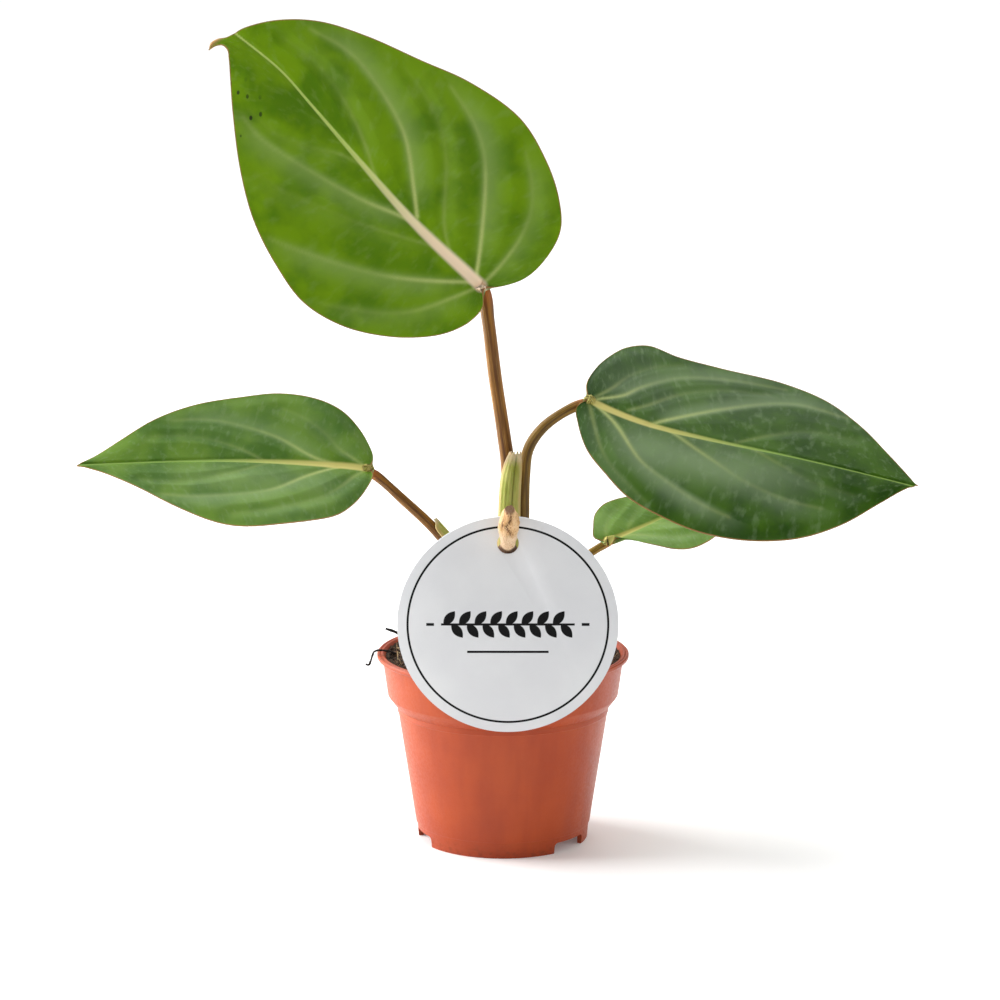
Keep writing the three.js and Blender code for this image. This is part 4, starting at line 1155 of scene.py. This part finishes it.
def sprig_leaves(tree, x, z, side):
    """A row of small pointed leaves that slant away from a level stalk, on one side of it."""
    shifted = plus(tree, x, SPRIG_PITCH * (0.25 * side + 50))
    local = minus(tree, maths(tree, "MODULO", shifted, SPRIG_PITCH), SPRIG_PITCH / 2)
    rise = minus(tree, times(tree, z, side), LEAF_LIFT)
    cosine, sine = math.cos(SPRIG_SLANT), math.sin(SPRIG_SLANT)
    along = plus(tree, times(tree, local, cosine), times(tree, rise, sine))
    across = minus(tree, times(tree, rise, cosine), times(tree, local, sine))
    length, width = SPRIG_LEAF
    share = maths(tree, "POWER", maths(tree, "DIVIDE", along, length), 2)
    lens = times(tree, minus(tree, 1, share), width)
    leaves = within(tree, minus(tree, unsigned(tree, across), lens), 0)
    whole = unsigned(tree, plus(tree, x, 0.25 * side * SPRIG_PITCH))
    return times(tree, leaves, within(tree, whole, 4 * SPRIG_PITCH, 0.01))


def card_print(tree, place):
    """The black print as one mask: ring, dashes, sprig and rule."""
    split = put(tree, "SeparateXYZ", {0: place})
    x = minus(tree, split.outputs[0], CARD_CENTRE.x)
    z = minus(tree, split.outputs[2], CARD_CENTRE.z)
    radius = maths(tree, "SQRT", plus(tree, maths(tree, "POWER", x, 2), maths(tree, "POWER", z, 2)))
    off_ring = unsigned(tree, minus(tree, radius, RING_RADIUS))
    ring = within(tree, off_ring, RING_LINE / 2)
    reach = unsigned(tree, x)
    level = minus(tree, z, SPRIG_RISE)
    off_level = unsigned(tree, level)
    dash = bar(tree, unsigned(tree, minus(tree, reach, DASH_PLACE)), off_level, DASH_SIZE)
    stalk = bar(tree, reach, off_level, (2 * SPRIG_REACH, STALK_LINE))
    rule = bar(tree, reach, unsigned(tree, plus(tree, z, RULE_DROP)), RULE_SIZE)
    leaf_rows = (sprig_leaves(tree, x, level, side) for side in (1, -1))
    print_mask = ring
    for mark in (dash, stalk, rule, *leaf_rows):
        print_mask = maths(tree, "MAXIMUM", print_mask, mark)
    front = put(tree, "SeparateXYZ", {0: put(tree, "TexCoord").outputs["Normal"]}).outputs[1]
    return times(tree, print_mask, spread(tree, front, -0.4, -0.6))


def card_finish():
    material, tree = bare_finish("printed_card", Specular_IOR_Level=0.12)
    place = object_place(tree)
    cloud, grain = grained(tree, place, 0.06, 5.0)
    paper = tinted(tree, (216, 217, 219), (223, 224, 225), cloud, 0.3, 0.7)
    paper = tinted(tree, paper, (204, 205, 209), grain, 0.55, 0.75, 0.4)
    inked = times(tree, card_print(tree, place), spread(tree, grain, 0.25, 0.4, 0.9, 1.0))
    paper = blended(tree, inked, paper, (6, 6, 7))
    matt = spread(tree, grain, 0.3, 0.7, 0.62, 0.75)
    return finished(material, paper, minus(tree, matt, times(tree, inked, 0.15)), grain, 0.03, 0.5)


def make_card():
    upright = (math.pi / 2, 0, 0)
    disc = {"radius": CARD_RADIUS * MM, "depth": CARD_THICKNESS * MM, "location": CARD_CENTRE * MM}
    card = primitive("cylinder", vertices=192, rotation=upright, **disc)
    card.name = "round_label_card"
    bpy.ops.object.transform_apply()
    hole_place = (CARD_CENTRE + Vector((0, 0, HOLE_RISE))) * MM
    punch = {"radius": HOLE_RADIUS * MM, "depth": 4 * MM, "location": hole_place}
    cut_away(card, primitive("cylinder", vertices=64, rotation=upright, **punch))
    apply_modifier(card, "BEVEL", width=0.08 * MM, segments=2, angle_limit=math.radians(50))
    card.data.materials.clear()
    card.data.materials.append(card_finish())
    shade(card, 40)
    belong(card, "card", "label_card")


make_card()

# ---------------------------------------------------------------------------------------------
# Label stick: a thin branch of bare pale wood, pushed into the mix behind the card and bent
# forward through its hole. It is thinned there, and its sawn end is brown and cracked.
# Behind the card the stick is painted dark brown: painted shade of the card on the stick, seen through the
# hole.
STICK_RADIUS = 2.1
STICK_NECK = 1.25
STICK_END_SHARE = 0.56
STICK_TOP = 13.4
STICK_STRAIGHT = 7.0
STICK_LEAN = math.radians(42)


def stick_finish():
    under_skin = {"Subsurface_Weight": 0.05, "Subsurface_Scale": 0.5 * MM}
    material, tree = bare_finish("bare_stick_wood", Specular_IOR_Level=0.3, **under_skin)
    seen = marks_on(tree, "from_end", "crack", "waist", "bark")
    place = object_place(tree, (1, 0.45, 0.45))
    cloud, grain = grained(tree, place, 0.7, 3.6)
    wood = tinted(tree, (204, 160, 108), (226, 190, 144), cloud, 0.35, 0.65)
    wood = blended(tree, times(tree, seen["waist"], 0.35), wood, (232, 214, 192))
    wood = tinted(tree, wood, (160, 106, 62), grain, 0.56, 0.68, 0.8)
    wood = tinted(tree, wood, (98, 62, 36), grain, 0.38, 0.28, 0.75)
    wood = tinted(tree, wood, (112, 78, 56), seen["from_end"], 1.1, 0.1, 0.85)
    rough_crack = times(tree, seen["crack"], spread(tree, grain, 0.38, 0.52))
    wood = blended(tree, rough_crack, wood, (84, 50, 28))
    # Painted shade: the stick behind the card is painted dark brown, as the card's shade on it.
    wood = blended(tree, seen["bark"], wood, (84, 56, 34))
    relief = plus(tree, grain, times(tree, cloud, 0.5))
    return finished(material, wood, (grain, 0.62, 0.85), relief, 0.35)


def make_stick():
    card_y = CARD_CENTRE.y
    hole = Vector((CARD_CENTRE.x, card_y, CARD_CENTRE.z + HOLE_RISE))
    lean = Vector((0.03, -math.sin(STICK_LEAN), math.cos(STICK_LEAN))).normalized()
    route = [
        (0.2, -8.0, SOIL_TOP - 12), (0.3, -9.5, SOIL_TOP + 1),
        (0.6, -14.0, SOIL_TOP + 0.42 * (hole.z - SOIL_TOP)),
        tuple(hole - lean * STICK_STRAIGHT), tuple(hole), tuple(hole + lean * STICK_TOP),
    ]
    dense = through(route, ROUTE_STEPS)
    length = np.linalg.norm(np.diff(dense, axis=0), axis=1).sum()
    marks = {}

    def radius_at(v, angle):
        from_end = (1 - v) * length
        from_hole = STICK_TOP - from_end
        notch = np.exp(-(((from_hole + 1.7) / 1.7) ** 4)) * smooth(np.cos(angle), -0.3, 0.7)
        notch += np.exp(-(((from_hole - 1.7) / 1.7) ** 4)) * smooth(-np.cos(angle), -0.3, 0.7)
        notch = np.clip(notch, 0, 1)
        waist = np.exp(-((from_hole / 2.4) ** 4))
        swell = 0.22 * np.exp(-(((from_end - 6.0) / 2.6) ** 2)) + 0.22 * smooth(-from_hole, 1.0, 3.0)
        blunt = 1 - (1 - STICK_END_SHARE) * (1 - smooth(from_end, 0, 4.2))
        rounded = blunt * (1 - 0.15 * np.exp(-((from_end / 0.5) ** 2)))
        lumps = 0.05 * np.sin(3 * angle + 0.8 * from_end) + 0.03 * np.sin(7 * angle - 1.9 * from_end)
        grooves = 0.03 * np.sin(19 * angle + 2 * np.sin(0.7 * from_end))
        wander = angle - 0.25 * np.sin(1.1 * from_end)
        crack = np.exp(-((wander / 0.2) ** 2))
        crack *= smooth(from_end, 0.0, 0.8) * (1 - smooth(from_end, 6.5, 8.5))
        second = np.exp(-(((angle + 0.75) / 0.12) ** 2))
        second *= smooth(from_end, 2, 3) * (1 - smooth(from_end, 4.5, 6))
        crack = np.maximum(crack, 0.8 * second)
        marks["crack"] = crack
        marks["waist"] = smooth(from_end, 6.5, 9.0) * (1 - smooth(from_end, 14, 16))
        marks["from_end"] = from_end
        # Painted shade mask: dark from just behind the hole down to the mix.
        marks["bark"] = smooth(-from_hole, 0.4, 1.6)
        plain = STICK_RADIUS + (STICK_NECK - STICK_RADIUS) * notch + (swell - 0.3 * waist) * (1 - notch)
        return plain * rounded * (1 + (lumps + grooves) * (1 - waist)) - 0.28 * crack

    stick = rod("label_stick_wood", route, radius_at, 72, 220, marks=marks)
    stick.data.materials.append(stick_finish())
    shade(stick, 50)
    belong(stick, "stick_wood", "label_stick")


make_stick()

# ---------------------------------------------------------------------------------------------
# Grit in the mix: puffed volcanic glass, off-white, light and full of pits, and flat chips of
# composted bark. Both lie loose on the top of the mix.
GRIT_COUNT = 11
CHIP_COUNT = 8
CHIP_WIDTH = 0.45


def fitted(piece, node, turn=0.0):
    """Turns the piece about Z, then stretches and moves it to fill the node's box."""
    low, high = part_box(node)
    piece.rotation_euler = (0, 0, turn)
    pick(piece)
    bpy.ops.object.transform_apply(location=False)
    corners = [Vector(corner) for corner in piece.bound_box]
    least, most = (Vector(end(c[k] for c in corners) for k in range(3)) for end in (min, max))
    share = [(high[k] - low[k]) / (most[k] - least[k]) for k in range(3)]
    piece.scale = share
    piece.location = (low + high) / 2 - Vector([(least[k] + most[k]) / 2 * share[k] for k in range(3)])
    bpy.ops.object.transform_apply()


def grit_finish():
    material, tree = bare_finish("puffed_mineral", Specular_IOR_Level=0.3)
    place = object_place(tree)
    cloud, grain = grained(tree, place, 0.8, 5.0)
    pits = put(tree, "TexVoronoi", {"Vector": place, "Scale": 3.4}).outputs["Distance"]
    white = tinted(tree, (226, 218, 202), (204, 190, 166), cloud, 0.35, 0.65)
    white = tinted(tree, white, (142, 122, 98), pits, 0.28, 0.1, 0.6)
    return finished(material, white, (grain, 0.75, 0.95), pits, 0.2)


def chip_finish():
    material, tree = bare_finish("composted_bark", Specular_IOR_Level=0.3)
    cloud, grain = grained(tree, object_place(tree, (1, 0.3, 1)), 0.9, 4.0)
    bark = tinted(tree, (62, 42, 30), (96, 68, 46), cloud, 0.35, 0.65)
    bark = tinted(tree, bark, (142, 106, 74), grain, 0.6, 0.75)
    return finished(material, bark, (grain, 0.75, 0.95), grain, 0.3)


def make_grit():
    grain = primitive("ico_sphere", subdivisions=4, radius=MM)
    for vertex in grain.data.vertices:
        x, y, z = vertex.co / MM
        lump = math.sin(2.9 * x + 1) * math.cos(3.1 * y) + 0.6 * math.sin(5.7 * z + 2 * x)
        lump += 0.4 * math.cos(9 * y + x)
        vertex.co *= 1 + 0.13 * lump
    grain.data.materials.append(grit_finish())
    shade(grain, 50)
    for number in range(1, GRIT_COUNT + 1):
        piece = copied(grain, "mineral_grain_" + str(number))
        fitted(piece, "perlite_" + str(number), 1.3 * number)
        belong(piece, "perlite", "perlite_" + str(number))
    bpy.data.objects.remove(grain)


def make_chips():
    chip = primitive("cube", size=2 * MM)
    chip.scale = (1, CHIP_WIDTH, 0.25)
    bpy.ops.object.transform_apply(location=False, rotation=False)
    apply_modifier(chip, "BEVEL", width=0.09 * MM, segments=2)
    edit_all(chip)
    bpy.ops.mesh.subdivide(number_cuts=9)
    end_edit()
    for vertex in chip.data.vertices:
        x, y, z = vertex.co / MM
        ragged = 0.05 * math.sin(17 * y + 3 * z) * x + 0.04 * math.sin(11 * x + 1)
        vertex.co.x += ragged * MM
        vertex.co.y += 0.05 * math.sin(13 * x + 2 * z) * MM
        vertex.co.z += (0.04 * math.sin(9 * x + 4 * y) + 0.05 * x * x) * MM
    chip.data.materials.append(chip_finish())
    shade(chip, 40)
    for number in range(1, CHIP_COUNT + 1):
        node = "bark_chip_" + str(number)
        low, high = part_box(node)
        ratio = (high.y - low.y) / (high.x - low.x)
        turn = math.atan2(ratio - CHIP_WIDTH, 1 - CHIP_WIDTH * ratio)
        piece = copied(chip, "bark_flake_" + str(number))
        fitted(piece, node, turn)
        belong(piece, "bark", node)
    bpy.data.objects.remove(chip)


make_grit()
make_chips()

# ---------------------------------------------------------------------------------------------
# Strays from the mix: a black root fibre that hangs out over the lip and kinks at its end, and
# a short dark twig that pokes up at the back left and leans out over the lip.
FIBRE_RADIUS = 0.25
TWIG_RADIUS = 0.42


def make_strays():
    material, tree = bare_finish("dark_root_fibre", Specular_IOR_Level=0.35)
    cloud, grain = grained(tree, object_place(tree), 1.2, 5.0)
    skin = tinted(tree, (16, 13, 11), (38, 30, 24), cloud, 0.35, 0.65)
    skin = tinted(tree, skin, (82, 64, 48), grain, 0.62, 0.78)
    finished(material, skin, (grain, 0.6, 0.85), grain, 0.12)
    inside = BAND_RADIUS - WALL
    over = 3.7
    fibre = [
        (2.4 - inside, -2.2, 2.9), (0.4 - inside, -2.6, over), (-LIP_RADIUS - 0.5, -3.0, over),
        (-LIP_RADIUS - 1.3, -3.2, over - 1.8), (-LIP_RADIUS - 1.9, -3.3, over - 3.2),
        (-LIP_RADIUS - 2.7, -3.3, over - 3.1),
    ]
    twig = [(4.2 - inside, 8, 3.1), (3.7 - inside, 8, 4.2), (2.6 - inside, 8, 5.4), (-0.4 - inside, 8, 6.6)]

    def fibre_radius(v, angle):
        return FIBRE_RADIUS * (1 + 0.12 * np.sin(31 * v) + 0.08 * np.sin(3 * angle + 47 * v))

    def twig_radius(v, angle):
        knots = 0.12 * np.exp(-(((v - 0.35) / 0.05) ** 2)) + 0.1 * np.exp(-(((v - 0.8) / 0.05) ** 2))
        return TWIG_RADIUS * (1 - 0.3 * v) * (1 + knots + 0.06 * np.sin(4 * angle + 19 * v))

    strays = (
        ("stray_fibre", fibre, fibre_radius, "root_fibre"),
        ("stray_twig", twig, twig_radius, "twig"),
    )
    for name, route, radius_at, node in strays:
        placed = [(x, y, z + SOIL_TOP) for x, y, z in route]
        piece = rod(name, placed, radius_at, 16, 90, facing=(0.3, -1, 0.2))
        piece.data.materials.append(material)
        shade(piece, 60)
        belong(piece, "dark_fibre", node)


make_strays()

# ---------------------------------------------------------------------------------------------
# Floor and light: a plain pale sweep under soft boxes, the strongest from the left.
def make_studio():
    floor = primitive("plane", size=12, location=(0, 0, 0))
    floor.name = "floor"
    glow = {"Emission_Color": (1, 1, 1, 1), "Emission_Strength": 0.1}
    material, tree = bare_finish("pale_floor", Roughness=0.9, **glow)
    cloud, _ = grained(tree, object_place(tree), 0.002, 0.5)
    pale = blended(tree, cloud, (247, 247, 247), (250, 250, 250))
    tree.links.new(pale, tree.nodes["Principled BSDF"].inputs["Base Color"])
    floor.data.materials.append(material)
    world = bpy.data.worlds.new("studio")
    world.use_nodes = True
    world.node_tree.nodes["Background"].inputs[0].default_value = (1, 1, 1, 1)
    world.node_tree.nodes["Background"].inputs[1].default_value = 0.35
    bpy.context.scene.world = world
    boxes = (
        ("left_box", (-0.9, 0.26, 0.32), (0.9, 0.9), 27, (0, 0, 0.05)),
        ("right_box", (0.95, -0.05, 0.4), (0.5, 0.7), 2, (0, 0, 0.09)),
        ("floor_box", (0, 2.2, 2.4), (2.4, 6.0), 80, (0, 2.2, 0)),
    )
    for name, place, size, power, aimed_at in boxes:
        light = bpy.data.lights.new(name, "AREA")
        light.shape = "RECTANGLE"
        light.size, light.size_y = size
        light.energy = power
        lamp = bpy.data.objects.new(name, light)
        lamp.location = place
        aim = Vector(aimed_at) - Vector(place)
        lamp.rotation_euler = aim.to_track_quat("-Z", "Y").to_euler()
        bpy.context.scene.collection.objects.link(lamp)


make_studio()
